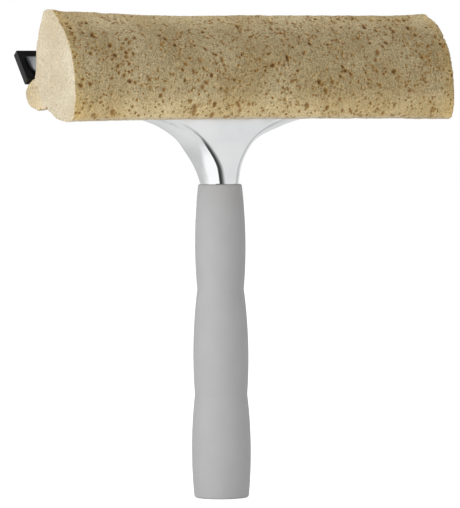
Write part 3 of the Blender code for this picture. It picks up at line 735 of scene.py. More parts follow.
def read_rows(items: bpy.types.bpy_prop_collection, key: str) -> np.ndarray:
    """Reads a vector from each of a mesh's items.

    Args:
        items: The mesh's points or its point normals.
        key: Name of the vector in each.

    Returns:
        One row for each item.
    """
    values = np.empty(len(items) * 3, np.float32)
    items.foreach_get(key, values)
    return values.reshape(-1, 3).astype(float)


def move_points(mesh: Mesh, place: np.ndarray) -> None:
    """Moves a mesh's points to the places in an array of rows."""
    mesh.vertices.foreach_set("co", place.astype(np.float32).ravel())
    mesh.update()


def write_field(mesh: Mesh, name: str, values: np.ndarray) -> None:
    """Stores one number for each point, which a material reads by name."""
    attribute = mesh.attributes.new(name, "FLOAT", "POINT")
    attribute.data.foreach_set("value", values.astype(np.float32))


def dress(thing: Thing, material: Material) -> None:
    """Gives an object one material in place of what it had."""
    thing.data.materials.clear()
    thing.data.materials.append(material)


def ease(value: float | np.ndarray, low: float, high: float) -> float | np.ndarray:
    """Smooth rise from 0 at low to 1 at high, for one number or for each of many."""
    share = np.clip((value - low) / (high - low), 0.0, 1.0)
    return share * share * (3 - 2 * share)


def bell(value: np.ndarray, middle: float, below: float, above: float) -> np.ndarray:
    """Smooth hump of height 1 at its middle, with its own reach on each side."""
    offset = value - middle
    return np.exp(-(offset / np.where(offset < 0, below, above)) ** 2)


def mix(start: float, end: float, share: float) -> float:
    """The value at a share of the way from start to end."""
    return start + (end - start) * share


# Sub-assemblies

@dataclass(frozen=True)
class Pores:
    """One range of bubbles: how many, how large, and the share that the cut ends keep."""

    count: int
    smallest_mm: float
    largest_mm: float
    on_ends: float


@dataclass
class Skin:
    """Points of the foam's surface, with the painted shade and the depth of each in a bubble."""

    place: np.ndarray
    out: np.ndarray
    reach: float = 1.15
    wobble: float = 0.28
    wobble_size: float = 0.9 * MM
    dark_power: float = 0.7
    dark_radius: float = 0.65 * MM
    sink_share: float = 0.6

    def __post_init__(self) -> None:
        """Starts with no bubbles, and sorts the points for the search."""
        self.dark = np.zeros(len(self.place))
        self.sink = np.zeros(len(self.place))
        self.tree = kdtree.KDTree(len(self.place))
        for i, point in enumerate(self.place):
            self.tree.insert(point, i)
        self.tree.balance()

    def press(self, index: int, radius: float, stretch: float, along: np.ndarray,
              depth: float) -> None:
        """Presses one bubble into the skin.

        Args:
            index: Point at the bubble's middle.
            radius: The bubble's radius.
            stretch: How much longer it is than wide.
            along: The way it is stretched.
            depth: How much painted shade it gets, from 0 to 1.
        """
        normal = self.out[index]
        along = along - normal * (along @ normal)
        along = along / (np.linalg.norm(along) + TINY)
        found = self.tree.find_range(self.place[index], radius * stretch * self.reach)
        near = np.array([i for _, i, _ in found])
        offset = self.place[near] - self.place[index]
        flat = offset - np.outer(offset @ normal, normal)
        lengthwise = flat @ along
        square = (flat * flat).sum(1) - lengthwise ** 2 + (lengthwise / stretch) ** 2
        uneven = np.array([noise.noise(Vector(self.place[i]) / self.wobble_size) for i in near])
        share = np.clip(1 - square / (radius * (1 + self.wobble * uneven)) ** 2, 0, 1)
        # Painted shade, darkest in the bubble's middle.
        dark = share ** self.dark_power * depth * min(1.0, radius / self.dark_radius)
        self.dark[near] = np.maximum(self.dark[near], dark)
        self.sink[near] = np.maximum(self.sink[near], np.sqrt(share) * radius * self.sink_share)


@dataclass
class Sponge:
    """The foam that rides on the sponge unit, with bubbles pressed into its skin."""

    PIT = "pit_depth"
    CUT = "cut_face"

    finish: OpenCellFoam = field(default_factory=OpenCellFoam)
    voxel: float = 0.73 * MM
    stations: int = 48
    per_span: int = 5
    # How the middle is drawn in: its curve along the length, and where along the depth
    # the underside takes part, as shares of the depth.
    draw_power: int = 3
    drawn: Pair = (0.40, 0.80)
    front_share: float = 0.3
    # How far the recess reaches behind the backing's back face and in front of it.
    recess_back: float = 2 * MM
    recess_depth: float = 2.4 * MM
    socket_radius: float = 5.0 * MM
    # The middle, reach and depth of each sag along the top, which fades out downwards.
    sags_mm: tuple[Triple, ...] = ((-40.0, 26.0, 0.8), (92.0, 22.0, 0.5))
    sag_share: float = 0.5
    # The underside hangs, by less further up and towards the back.
    hang: float = 0.4 * MM
    hang_share: float = 0.4
    hang_from: float = 4 * MM
    hang_to: float = 12 * MM
    # Each end's own forms set in between these distances from it: a peak at the left top
    # corner and a short corner at the right.
    end_from: float = 7 * MM
    end_to: float = 0.5 * MM
    corner_height: float = 6 * MM
    peak: float = 0.7 * MM
    short_corner: float = 2.3 * MM
    short_length: float = 9 * MM
    # The bulge under the blade's end: its offset from the blade's heel, and its reach
    # to either side of it.
    squeezed: float = 4.2 * MM
    squeezed_y: Triple = (0.4 * MM, 4 * MM, 7 * MM)
    squeezed_z: Triple = (-0.7 * MM, 7 * MM, 5.1 * MM)
    # Below the blade's heel each lobe turns down in front of the backing's back face.
    crook: float = 1.1 * MM
    crook_inset: float = 7 * MM
    crook_reach: float = 5 * MM
    crook_from: float = 12 * MM
    crook_to: float = 6 * MM
    # Smoothing: passes over the lobes and over all of it, the blend between the two, and
    # the two pulls of each pass, of which the second undoes the first's shrinking.
    lobe_passes: int = 16
    body_passes: int = 3
    blend_voxels: int = 2
    pulls: Pair = (0.55, -0.57)
    # Bubbles come in patches, and fewer lie near the top.
    seed: int = 11
    pores: tuple[Pores, ...] = (
        Pores(520, 0.95, 1.6, 0.0), Pores(2200, 0.6, 0.95, 0.0), Pores(3800, 0.42, 0.6, 0.1),
    )
    patch_level: float = 0.75
    patch_swing: float = 1.1
    patch_size: float = 17.0 * MM
    bare_top: float = 0.6
    bare_height: float = 12 * MM
    stretches: Pair = (1.0, 1.5)
    lie: Triple = (0.5, 0.3, 1.0)
    pit_shade_range: Pair = (0.45, 1.0)
    # Size and depth of the lumps between them, and how much of these the cut ends lose.
    lumps_mm: tuple[Pair, ...] = ((1.6, 0.16), (6.0, 0.35))
    even_ends: float = 0.75
    # Where the skin counts as cut: by the way it faces, and past the slanted fold at a lobe. Skin
    # that faces down takes part of the cut ends' paler colour as painted light.
    end_facing: float = 0.55
    end_blend: float = 0.3
    under_facing: Pair = (0.55, 0.85)
    painted_underside_light: float = 0.75
    lobe_tone: float = 0.50
    fold_slant: float = 0.7
    fold_before: float = 3 * MM
    fold_after: float = 2.5 * MM

    def build(self) -> None:
        """Makes the foam in the place of its solid."""
        self.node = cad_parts["sponge"]
        self.low, self.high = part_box("sponge")
        self.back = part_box("sponge_backing")[1].y
        foam = self.body()
        self.settle(foam)
        self.soften(foam)
        self.roughen(foam)
        foam.data.shade_smooth()
        dress(foam, self.finish.build())
        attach(foam, "sponge_unit")
        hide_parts("sponge")

    def end_ring(self) -> list[Vector]:
        """Reads the solid's own section at its left end.

        Returns:
            The section, as a finer smooth ring.
        """
        points = {
            (round(v.co.y, DIGITS), round(v.co.z, DIGITS)) for v in self.node.data.vertices
            if abs(v.co.x - self.low.x) < self.voxel / 10
        }
        middle_y = sum(y for y, z in points) / len(points)
        middle_z = sum(z for y, z in points) / len(points)
        ring = sorted(points, key=lambda p: atan2(p[1] - middle_z, p[0] - middle_y))
        return smooth_closed([Vector((0, y, z)) for y, z in ring], self.per_span)

    def body(self) -> Thing:
        """Makes the round-fronted body and the lobes, with a recess for the backing.

        Returns:
            The foam, as one even mesh.
        """
        ring = self.end_ring()
        top_pinch, bottom_pinch = self.pinches()
        half = self.high.x
        depth = self.back - self.low.y
        height = self.high.z - self.low.z
        rings = []
        for station in range(self.stations + 1):
            x = half * (2 * station / self.stations - 1)
            draw = 1 - abs(x / half) ** self.draw_power
            section = []
            for point in ring:
                share = (point.z - self.low.z) / height
                forward = ease((self.back - point.y) / depth, *self.drawn)
                low = self.low.z + bottom_pinch * draw * forward
                high = self.high.z - top_pinch * draw
                section.append(Vector((x, point.y, mix(low, high, share))))
            rings.append(section)
        foam = loft("foam_sponge", rings)
        cut_away(foam, self.recess())
        shape = bmesh.new()
        shape.from_mesh(foam.data)
        shape.from_mesh(self.node.data)
        shape.to_mesh(foam.data)
        shape.free()
        even = foam.modifiers.new("even", "REMESH")
        even.mode = "VOXEL"
        even.voxel_size = self.voxel
        apply_modifiers(foam)
        LOG.info("foam: %d faces", len(foam.data.polygons))
        return foam

    def pinches(self) -> Pair:
        """Measures how far the solid's middle is drawn in.

        Returns:
            The height that its top and its underside lose at mid length.
        """
        middle = [v.co for v in self.node.data.vertices if abs(v.co.x) < self.voxel / 10]
        front = [p for p in middle if p.y < mix(self.low.y, self.back, self.front_share)]
        return self.high.z - max(p.z for p in middle), min(p.z for p in front) - self.low.z

    def recess(self) -> Thing:
        """Makes what is cut away for the backing plate, with a little room round it.

        Returns:
            A block with four round pockets.
        """
        low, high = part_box("sponge_backing")
        room = self.voxel
        back = high.y + self.recess_back
        front = high.y - self.recess_depth - room
        left, right, bottom, top = low.x - room, high.x + room, low.z - room, high.z + room
        corners = ((front, bottom), (back, bottom), (back, top), (front, top))
        ends = [[Vector((x, y, z)) for y, z in corners] for x in (left, right)]
        block = loft("foam_recess", ends)
        shape = bmesh.new()
        shape.from_mesh(block.data)
        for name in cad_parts:
            if name.startswith("sponge_stud"):
                middle = sum(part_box(name), Vector()) / 2
                start = Vector((middle.x, low.y - room, middle.z))
                end = Vector((middle.x, (front + back) / 2, middle.z))
                add_bar(shape, start, end, self.socket_radius + room)
        shape.to_mesh(block.data)
        shape.free()
        return block

    def settle(self, foam: Thing) -> None:
        """Lets the foam sag between its ends, and squeezes it out under the blade's ends.

        Args:
            foam: The foam, whose points are moved.
        """
        place = read_rows(foam.data.vertices, "co")
        x, y, z = place.T.copy()
        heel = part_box("rubber_blade")[0]
        half = self.high.x
        outer = ease(np.abs(x), half - self.end_from, half - self.end_to)
        upper = ease(z, mix(self.low.z, self.high.z, self.sag_share), self.high.z)
        for middle, reach, depth in self.sags_mm:
            place[:, 2] -= depth * MM * bell(x, middle * MM, reach * MM, reach * MM) * upper
        lower = 1 - ease(z, self.low.z, mix(self.low.z, self.high.z, self.hang_share))
        place[:, 2] -= self.hang * lower * ease(self.back - y, self.hang_from, self.hang_to)
        corner = ease(z, self.high.z - self.corner_height, self.high.z)
        place[:, 2] += self.peak * np.where(x < 0, outer, 0.0) * corner
        place[:, 0] -= self.short_corner * ease(x, half - self.short_length, half) * corner
        bulge = 1.0
        for values, start, (offset, below, above) in (
            (y, heel.y, self.squeezed_y), (z, heel.z, self.squeezed_z),
        ):
            bulge = bulge * bell(values, start + offset, below, above)
        place[:, 0] += np.sign(x) * self.squeezed * bulge * outer
        crook = bell(y, self.back - self.crook_inset, self.crook_reach, self.crook_reach)
        crook *= 1 - ease(z, heel.z - self.crook_from, heel.z - self.crook_to)
        place[:, 2] -= self.crook * crook * outer
        move_points(foam.data, place)

    def soften(self, foam: Thing) -> None:
        """Rounds the lobes, and takes the steps off the body, without shrinking either.

        Args:
            foam: The foam, whose points are moved.
        """
        mesh = foam.data
        place = read_rows(mesh.vertices, "co")
        edges = np.empty(len(mesh.edges) * 2, np.int32)
        mesh.edges.foreach_get("vertices", edges)
        edges = edges.reshape(-1, 2)
        degree = np.bincount(edges.ravel(), minlength=len(place)).astype(float)
        blend = self.blend_voxels * self.voxel
        lobe = np.clip((place[:, 1] - self.back + blend) / (2 * blend), 0, 1)
        for step in range(self.lobe_passes):
            weight = lobe if step >= self.body_passes else np.ones(len(place))
            for pull in self.pulls:
                total = np.zeros_like(place)
                np.add.at(total, edges[:, 0], place[edges[:, 1]])
                np.add.at(total, edges[:, 1], place[edges[:, 0]])
                place += (total / degree[:, None] - place) * (pull * weight)[:, None]
        move_points(mesh, place)

    def roughen(self, foam: Thing) -> None:
        """Presses bubbles of many sizes into the skin, and records the painted shade that each
        point gets in its bubble.

        Args:
            foam: The foam, which gets the two fields that its material reads.
        """
        mesh = foam.data
        skin = Skin(read_rows(mesh.vertices, "co"), read_rows(mesh.vertex_normals, "vector"))
        place, out = skin.place, skin.out
        ends = np.clip((np.abs(out[:, 0]) - self.end_facing) / self.end_blend, 0, 1)
        rng = np.random.default_rng(self.seed)
        for pores in self.pores:
            for index in rng.integers(0, len(place), pores.count):
                if ends[index] > 0.5 and rng.random() > pores.on_ends:
                    continue
                swing = noise.noise(Vector(place[index]) / self.patch_size)
                patch = self.patch_level + self.patch_swing * swing
                top = ease(place[index][2], self.high.z - self.bare_height, self.high.z)
                if rng.random() > patch * (1 - self.bare_top * top):
                    continue
                radius = rng.uniform(pores.smallest_mm, pores.largest_mm) * MM
                stretch = rng.uniform(*self.stretches)
                along = np.array([rng.normal() * share for share in self.lie])
                skin.press(index, radius, stretch, along, rng.uniform(*self.pit_shade_range))
        rough = np.zeros(len(place))
        for size_mm, depth_mm in self.lumps_mm:
            lumps = np.array([noise.noise(Vector(p) / (size_mm * MM)) for p in place])
            rough += lumps * depth_mm * MM
        place -= out * (skin.sink + rough * (1 - self.even_ends * ends))[:, None]
        move_points(mesh, place)
        write_field(mesh, self.PIT, skin.dark)
        below = np.maximum(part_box("rubber_blade")[0].z - place[:, 2], 0)
        fold = place[:, 1] + self.fold_slant * below
        lobe = ease(fold, self.back - self.fold_before, self.back + self.fold_after)
        # Painted light: skin that faces down takes part of the cut ends' paler colour.
        under = self.painted_underside_light * ease(-out[:, 2], *self.under_facing)
        write_field(mesh, self.CUT, mix(np.maximum(ends, under), self.lobe_tone, lobe))


@dataclass(frozen=True)
class Level:
    """One section of the casting: its height and the lengths that shape it."""

    HALF_WIDTH = 0
    BACK = 3

    z: float
    half_width: float
    facet: float
    front: float
    back: float
    edge: float

    def lengths(self) -> np.ndarray:
        """All but the height, in the order that HALF_WIDTH and BACK count in."""
        return np.array((self.half_width, self.facet, self.front, self.back, self.edge))

    def toward(self, other: "Level", slopes: tuple[np.ndarray, np.ndarray], share: float,
               straight_back: bool) -> "Level":
        """Section between this one and the next.

        Args:
            other: The next section.
            slopes: Change of each length at this section and at the next, over their step.
            share: How far along the step the new section lies.
            straight_back: Whether the back runs straight, as on the blade's seat.

        Returns:
            The new section.
        """
        square, cube = share * share, share ** 3
        weights = (
            2 * cube - 3 * square + 1, cube - 2 * square + share,
            3 * square - 2 * cube, cube - square,
        )
        parts = (self.lengths(), slopes[0], other.lengths(), slopes[1])
        values = sum(part * weight for part, weight in zip(parts, weights))
        if straight_back:
            values[self.BACK] = mix(self.back, other.back, share)
        return Level(mix(self.z, other.z, share), *values)


@dataclass
class CastHead:
    """Tang, neck, flare and wings as one polished casting, finer than its solid."""

    finish: PolishedAluminium = field(default_factory=PolishedAluminium)
    # How the solid's own sections are told from the rims of its holes, and refined.
    ring_points: int = 24
    gap: float = 0.3 * MM
    spacing: float = 0.5 * MM
    straight_before_seat: int = 2
    passes: int = 6
    land_foot: float = 36.5 * MM
    # Height above the grip, and what the half-width and the back gain there.
    fuller_mm: tuple[Triple, ...] = (
        (0.0, 0.0, 0.0), (3.0, -0.3, 0.9), (8.0, -0.4, 0.9), (13.0, -0.25, 0.0),
        (17.5, -0.45, -0.6), (21.0, -0.3, 0.1), (24.0, 0.5, 0.4), (26.0, 1.15, 0.6),
        (27.5, 1.3, 1.2), (29.0, 0.6, 2.6), (31.0, 0.1, 3.9), (33.0, 0.1, 4.3),
        (34.5, 0.0, 3.0), (36.5, 0.0, 0.0),
    )
    # Exponent of the back's curve at the neck, the wings and their tops, and the shares
    # of the height over which each becomes the next.
    squareness: Triple = (2.2, 9.0, 45.0)
    to_wing: Pair = (0.34, 0.62)
    to_top: Pair = (0.66, 0.86)
    # Rounding of the crease beside the facet, the shares of the height over which it
    # opens, the share of the facet that it may take, and how far the flank bends.
    crease_neck: float = 5.0 * MM
    crease_wing: float = 30.0 * MM
    crease_opens: Pair = (0.36, 0.56)
    crease_share: float = 0.6
    flank_bend: Pair = (0.62, 0.38)
    # Points along each stretch of a section, and the smoothing where flank meets back.
    crease_steps: int = 8
    flank_steps: int = 16
    side_steps: int = 6
    back_steps: int = 26
    kink_points: int = 5
    kink_passes: int = 8
    top_round: float = 0.5 * MM
    round_steps: int = 4
    # What the grip hides, and the holes.
    tang_half_width: float = 6.4 * MM
    tang_draft: float = 0.7 * MM
    tang_squareness: float = 5.0
    spigot_radius: float = 10.1 * MM
    spigot_depth: float = 5.6 * MM
    bore_radius: float = 2.8 * MM
    bore_depth: float = 14.3 * MM
    hole_radius: float = 2.3 * MM
    sharp_from: float = radians(32)

    def build(self) -> None:
        """Makes the casting in the place of its solid."""
        low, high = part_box("head_casting")
        grip_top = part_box("grip_sleeve")[1].z
        self.base = grip_top + self.gap
        self.top = high.z
        shoulder = grip_top - self.spigot_depth
        rings = [self.shank_ring(*shape) for shape in (
            (self.tang_half_width - self.tang_draft, self.tang_squareness, low.z),
            (self.tang_half_width, self.tang_squareness, shoulder),
            (self.spigot_radius, 2, shoulder),
            (self.spigot_radius, 2, self.base),
        )]
        rings += [self.ring(level) for level in self.fine_levels()]
        rings += self.rounded_top(rings.pop())
        casting = loft("cast_head", rings)
        self.bore(casting, low.z)
        casting.data.shade_smooth()
        casting.data.set_sharp_from_angle(angle=self.sharp_from)
        dress(casting, self.finish.build())
        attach(casting, "root")
        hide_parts("head_casting")

    def solid_levels(self) -> list[Level]:
        """Reads the sections that the solid was made through.

        Returns:
            The sections, from the grip upwards.
        """
        points = read_rows(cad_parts["head_casting"].data.vertices, "co")
        heights, counts = np.unique(np.round(points[:, 2], DIGITS), return_counts=True)
        tiny = self.gap / 100
        levels = []
        for z in heights[(counts >= self.ring_points) & (heights > self.base - tiny)]:
            ring = points[np.abs(points[:, 2] - z) < tiny]
            widest = ring[np.argmax(ring[:, 0])]
            front = ring[:, 1].min()
            facet = ring[ring[:, 1] < front + tiny][:, 0].max()
            if facet < widest[0] - tiny:
                back = ring[:, 1].max()
                levels.append(Level(float(z), widest[0], facet, -front, back, widest[1]))
        return levels

    def fine_levels(self) -> list[Level]:
        """Puts as many smooth sections between the solid's as the spacing asks for.

        Returns:
            All the sections, from the grip upwards.
        """
        rough = self.solid_levels()
        seat = min(range(1, len(rough)), key=lambda i: rough[i].back - rough[i - 1].back)
        fine = []
        for i in range(len(rough) - 1):
            low, high = rough[i], rough[i + 1]
            before, after = rough[max(i - 1, 0)], rough[min(i + 2, len(rough) - 1)]
            step = high.z - low.z
            slopes = (
                (high.lengths() - before.lengths()) / (high.z - before.z) * step,
                (after.lengths() - low.lengths()) / (after.z - low.z) * step,
            )
            count = max(int(step / self.spacing), 1)
            straight = i >= seat - self.straight_before_seat
            fine += [low.toward(high, slopes, k / count, straight) for k in range(count)]
        return self.rounded_off(fine + [rough[-1]])

    def rounded_off(self, levels: list[Level]) -> list[Level]:
        """Fills the neck out to the arc that it sweeps in the round, and smooths it upwards.

        Args:
            levels: The sections, from the grip upwards.

        Returns:
            The fuller and smoother sections.
        """
        heights = np.array([level.z for level in levels]) - self.base
        lengths = np.array([level.lengths() for level in levels])
        rise, wider, deeper = np.array(self.fuller_mm).T * MM
        lengths[:, Level.HALF_WIDTH] += np.interp(heights, rise, wider)
        lengths[:, Level.BACK] += np.interp(heights, rise, deeper)
        free = (heights[1:-1] < self.land_foot)[:, None]
        for _ in range(self.passes):
            even = (lengths[:-2] + 2 * lengths[1:-1] + lengths[2:]) / 4
            lengths[1:-1] = np.where(free, even, lengths[1:-1])
        return [Level(level.z, *row) for level, row in zip(levels, lengths)]

    def ring(self, level: Level) -> list[Vector]:
        """Rounds one section by its height.

        Args:
            level: The section's lengths.

        Returns:
            Its points, from the front's middle round to the right and back.
        """
        share = (level.z - self.base) / (self.top - self.base)
        neck, wing, top = self.squareness
        square = mix(mix(neck, wing, ease(share, *self.to_wing)), top, ease(share, *self.to_top))
        radius = mix(self.crease_neck, self.crease_wing, ease(share, *self.crease_opens))
        half = self.half_ring(level, square, radius)
        right = [Vector((x, y, level.z)) for x, y in half]
        return right + [Vector((-x, y, level.z)) for x, y in reversed(half[1:-1])]

    def half_ring(self, level: Level, square: float, radius: float) -> list[Pair]:
        """Half a section, from the front's middle round to the back's middle.

        Args:
            level: The section's lengths.
            square: Exponent of the back's curve.
            radius: Rounding of the crease between the facet and the flank.

        Returns:
            The points as (x, y).
        """
        front, back = -level.front, level.back
        bend_x, bend_y = self.flank_bend
        bend = Vector((mix(level.facet, level.half_width, bend_x), mix(front, level.edge, bend_y)))
        away = bend - Vector((level.facet, front))
        turn = atan2(away.y, away.x)
        most = level.facet * self.crease_share, away.length * self.crease_share
        reach = min(radius * tan(turn / 2), *most)
        real = reach / tan(turn / 2)
        middle = Vector((level.facet - reach, front + real))
        points = [(0, front), (middle.x / 2, front)]
        for step in range(self.crease_steps + 1):
            angle = turn * step / self.crease_steps - QUARTER_TURN
            points.append((middle.x + real * cos(angle), middle.y + real * sin(angle)))
        start, end = Vector(points[-1]), Vector((level.half_width, level.edge))
        for step in range(1, self.flank_steps + 1):
            t = step / self.flank_steps
            points.append(tuple(start * (1 - t) ** 2 + bend * (2 * t * (1 - t)) + end * t * t))
        kink = len(points) - 1
        first = sin(QUARTER_TURN / self.back_steps) ** (2 / square)
        for step in range(1, self.side_steps + 1):
            share = first * step / (self.side_steps + 1)
            x = level.half_width * (1 - share ** square) ** (1 / square)
            points.append((x, mix(level.edge, back, share)))
        for step in range(1, self.back_steps + 1):
            angle = QUARTER_TURN * step / self.back_steps
            x = level.half_width * max(cos(angle), 0.0) ** (2 / square)
            points.append((x, mix(level.edge, back, sin(angle) ** (2 / square))))
        points[-1] = (0, back)
        line = np.array(points)
        begin, stop = kink - self.kink_points, kink + self.side_steps
        for _ in range(self.kink_passes):
            sides = line[begin - 1:stop - 1] + 2 * line[begin:stop] + line[begin + 1:stop + 1]
            line[begin:stop] = sides / 4
        return [(x, y) for x, y in line]

    def rounded_top(self, ring: list[Vector]) -> list[list[Vector]]:
        """Ends the wings in a small rounding in place of a sharp edge.

        Args:
            ring: The top section.

        Returns:
            The sections that take its place.
        """
        inward = []
        for i in range(len(ring)):
            along = ring[(i + 1) % len(ring)] - ring[i - 1]
            inward.append(Vector((-along.y, along.x, 0)).normalized())
        rings = []
        for step in range(self.round_steps + 1):
            angle = QUARTER_TURN * step / self.round_steps
            inset = self.top_round * (1 - cos(angle))
            drop = Vector((0, 0, self.top_round * (1 - sin(angle))))
            rings.append([point + way * inset - drop for point, way in zip(ring, inward)])
        return rings

    def shank_ring(self, half_width: float, squareness: float, height: float) -> list[Vector]:
        """Squarish or round section of the tang, with as many points as the neck's.

        Args:
            half_width: Half its width and half its depth.
            squareness: Exponent of its curve, which is 2 for a round one.
            height: Its height.

        Returns:
            Its points, from the front's middle round to the right and back.
        """
        half = 3 + self.crease_steps + self.flank_steps + self.side_steps + self.back_steps
        count = 2 * half - 2
        points = []
        for i in range(count):
            angle = 2 * pi * i / count - QUARTER_TURN
            x, y = (
                abs(value) ** (2 / squareness) * (1 if value > 0 else -1)
                for value in (cos(angle), sin(angle))
            )
            points.append(Vector((half_width * x, half_width * y, height)))
        return points

    def bore(self, casting: Thing, bottom: float) -> None:
        """Cuts the bolt's bore and a hole for each screw and stud.

        Args:
            casting: The casting.
            bottom: Height of the tang's end.
        """
        shape = bmesh.new()
        start, end = (Vector((0, 0, bottom + way)) for way in (-self.gap, self.bore_depth))
        add_bar(shape, start, end, self.bore_radius)
        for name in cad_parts:
            low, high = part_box(name)
            if name.startswith("jaw_screw"):
                tip, outside = low.y - self.gap, high.y
            elif name.startswith("sponge_stud"):
                tip, outside = high.y + self.gap, low.y
            else:
                continue
            middle = (low + high) / 2
            start, end = (Vector((middle.x, y, middle.z)) for y in (tip, outside))
            add_bar(shape, start, end, self.hole_radius)
        mesh = bpy.data.meshes.new("drills")
        shape.to_mesh(mesh)
        shape.free()
        cut_away(casting, link_object("drills", mesh))


@dataclass
class BladeClamp:
    """Rubber blade, jaw and the screws that press them together."""

    rubber: BlackRubber = field(default_factory=BlackRubber)
    sheet: BrushedStainless = field(default_factory=BrushedStainless)
    turned: BrushedStainless = BrushedStainless(
        name="turned_stainless", colour="#BDBCB8", roughness=(0.18, 0.36), grain_mm=0.25,
        along=(1.0, 0.2, 1.0),
    )
    fastener_edge: float = 0.15 * MM
    jaw_edge: float = 0.2 * MM
    rubber_edge: float = 0.18 * MM
    weld: float = 0.005 * MM
    bevel_from: float = radians(30)

    def build(self) -> None:
        """Dresses the solids and breaks their edges."""
        steel = self.turned.build()
        for name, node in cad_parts.items():
            if name.startswith(("jaw_screw", "jaw_washer", "sponge_stud", "tang")):
                self.finish_solid(node, steel, self.fastener_edge)
        for name, finish, width in (
            ("clamp_jaw", self.sheet, self.jaw_edge),
            ("rubber_blade", self.rubber, self.rubber_edge),
        ):
            self.finish_solid(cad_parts[name], finish.build(), width)

    def finish_solid(self, node: Thing, material: Material, width: float) -> None:
        """Dresses a solid and rounds its sharp edges a little, so that they catch the light.

        Args:
            node: The solid.
            material: What it is made of.
            width: How wide its edges are broken.
        """
        dress(node, material)
        weld = node.modifiers.new("weld", "WELD")
        weld.merge_threshold = self.weld
        bevel = node.modifiers.new("broken_edges", "BEVEL")
        bevel.width = width
        bevel.segments = 2
        bevel.limit_method = "ANGLE"
        bevel.angle_limit = self.bevel_from


@dataclass
class Handle:
    """Three-lobed soft sleeve, its plug, and the core that shows at neither end."""

    rubber: SoftGripRubber = field(default_factory=SoftGripRubber)
    plastic: MouldedPlastic = MouldedPlastic(
        name="moulded_dark_polypropylene", colour="#5A5A5D", shade="#525255", roughness=0.5,
    )
    mouth: float = 11.6 * MM
    upper_waist: float = 12.35 * MM
    lower_waist: float = 13.9 * MM
    butt: float = 14.55 * MM
    upper_share: float = 0.665
    lower_share: float = 0.329
    crown: float = 1.4 * MM
    edge: float = 1.3 * MM
    mouth_round: float = 1.1 * MM
    bore: float = 10.4 * MM
    clear: float = 0.3 * MM
    sides: int = 128
    lobe_steps: int = 40
    round_steps: int = 8
    sharp_from: float = radians(40)

    def build(self) -> None:
        """Makes the sleeve in the place of its solid, and dresses what it holds."""
        self.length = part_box("grip_sleeve")[1].z
        sleeve = turned("grip_skin", self.outside() + self.inside(), self.sides)
        sleeve.data.set_sharp_from_angle(angle=self.sharp_from)
        rubber = self.rubber.build()
        dress(sleeve, rubber)
        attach(sleeve, "root")
        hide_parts("grip_sleeve")
        dress(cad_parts["butt_plug"], rubber)
        dress(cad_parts["handle_core"], self.plastic.build())

    def outside(self) -> list[Pair]:
        """Outer line from the mouth down to the butt.

        Returns:
            Its points as (radius, height).
        """
        upper, lower = self.length * self.upper_share, self.length * self.lower_share
        rounding = [QUARTER_TURN * step / self.round_steps for step in range(self.round_steps + 1)]
        lip = self.length - self.mouth_round
        points = [
            (self.mouth - self.mouth_round * (1 - sin(angle)),
             self.length - self.mouth_round * (1 - cos(angle)))
            for angle in rounding[:-1]
        ]
        for top_radius, top, low_radius, low in (
            (self.mouth, lip, self.upper_waist, upper),
            (self.upper_waist, upper, self.lower_waist, lower),
            (self.lower_waist, lower, self.butt, self.edge),
        ):
            for step in range(self.lobe_steps):
                t = step / self.lobe_steps
                radius = mix(top_radius, low_radius, t) + self.crown * 4 * t * (1 - t)
                points.append((radius, mix(top, low, t)))
        return points + [
            (self.butt - self.edge * (1 - cos(angle)), self.edge * (1 - sin(angle)))
            for angle in rounding
        ]

    def inside(self) -> list[Pair]:
        """Inner line from the butt up to the mouth.

        Returns:
            Its points as (radius, height).
        """
        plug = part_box("butt_plug")[1].x + self.clear
        low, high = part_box("handle_core")
        shelf, core = low.z - self.clear, high.x + self.clear
        return [
            (plug, 0), (plug, shelf), (core, shelf),
            (core, high.z), (self.bore, high.z), (self.bore, self.length),
        ]


@dataclass
class Backing:
    """Moulded plate in the sponge's back."""

    finish: MouldedPlastic = field(default_factory=MouldedPlastic)

    def build(self) -> None:
        """Dresses the plate."""
        dress(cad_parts["sponge_backing"], self.finish.build())


class Lamp(Enum):
    """The studio's soft lamps: place, aim, size and power."""

    KEY = ((-1.70, -0.25, 0.50), (0.0, 0.0, 0.16), 1.1, 16.8)
    LOW = ((-0.15, -1.00, 0.07), (0.0, 0.0, 0.20), 0.35, 3.0)
    TOP = ((-0.40, -0.40, 1.60), (0.0, 0.0, 0.20), 0.6, 2.0)


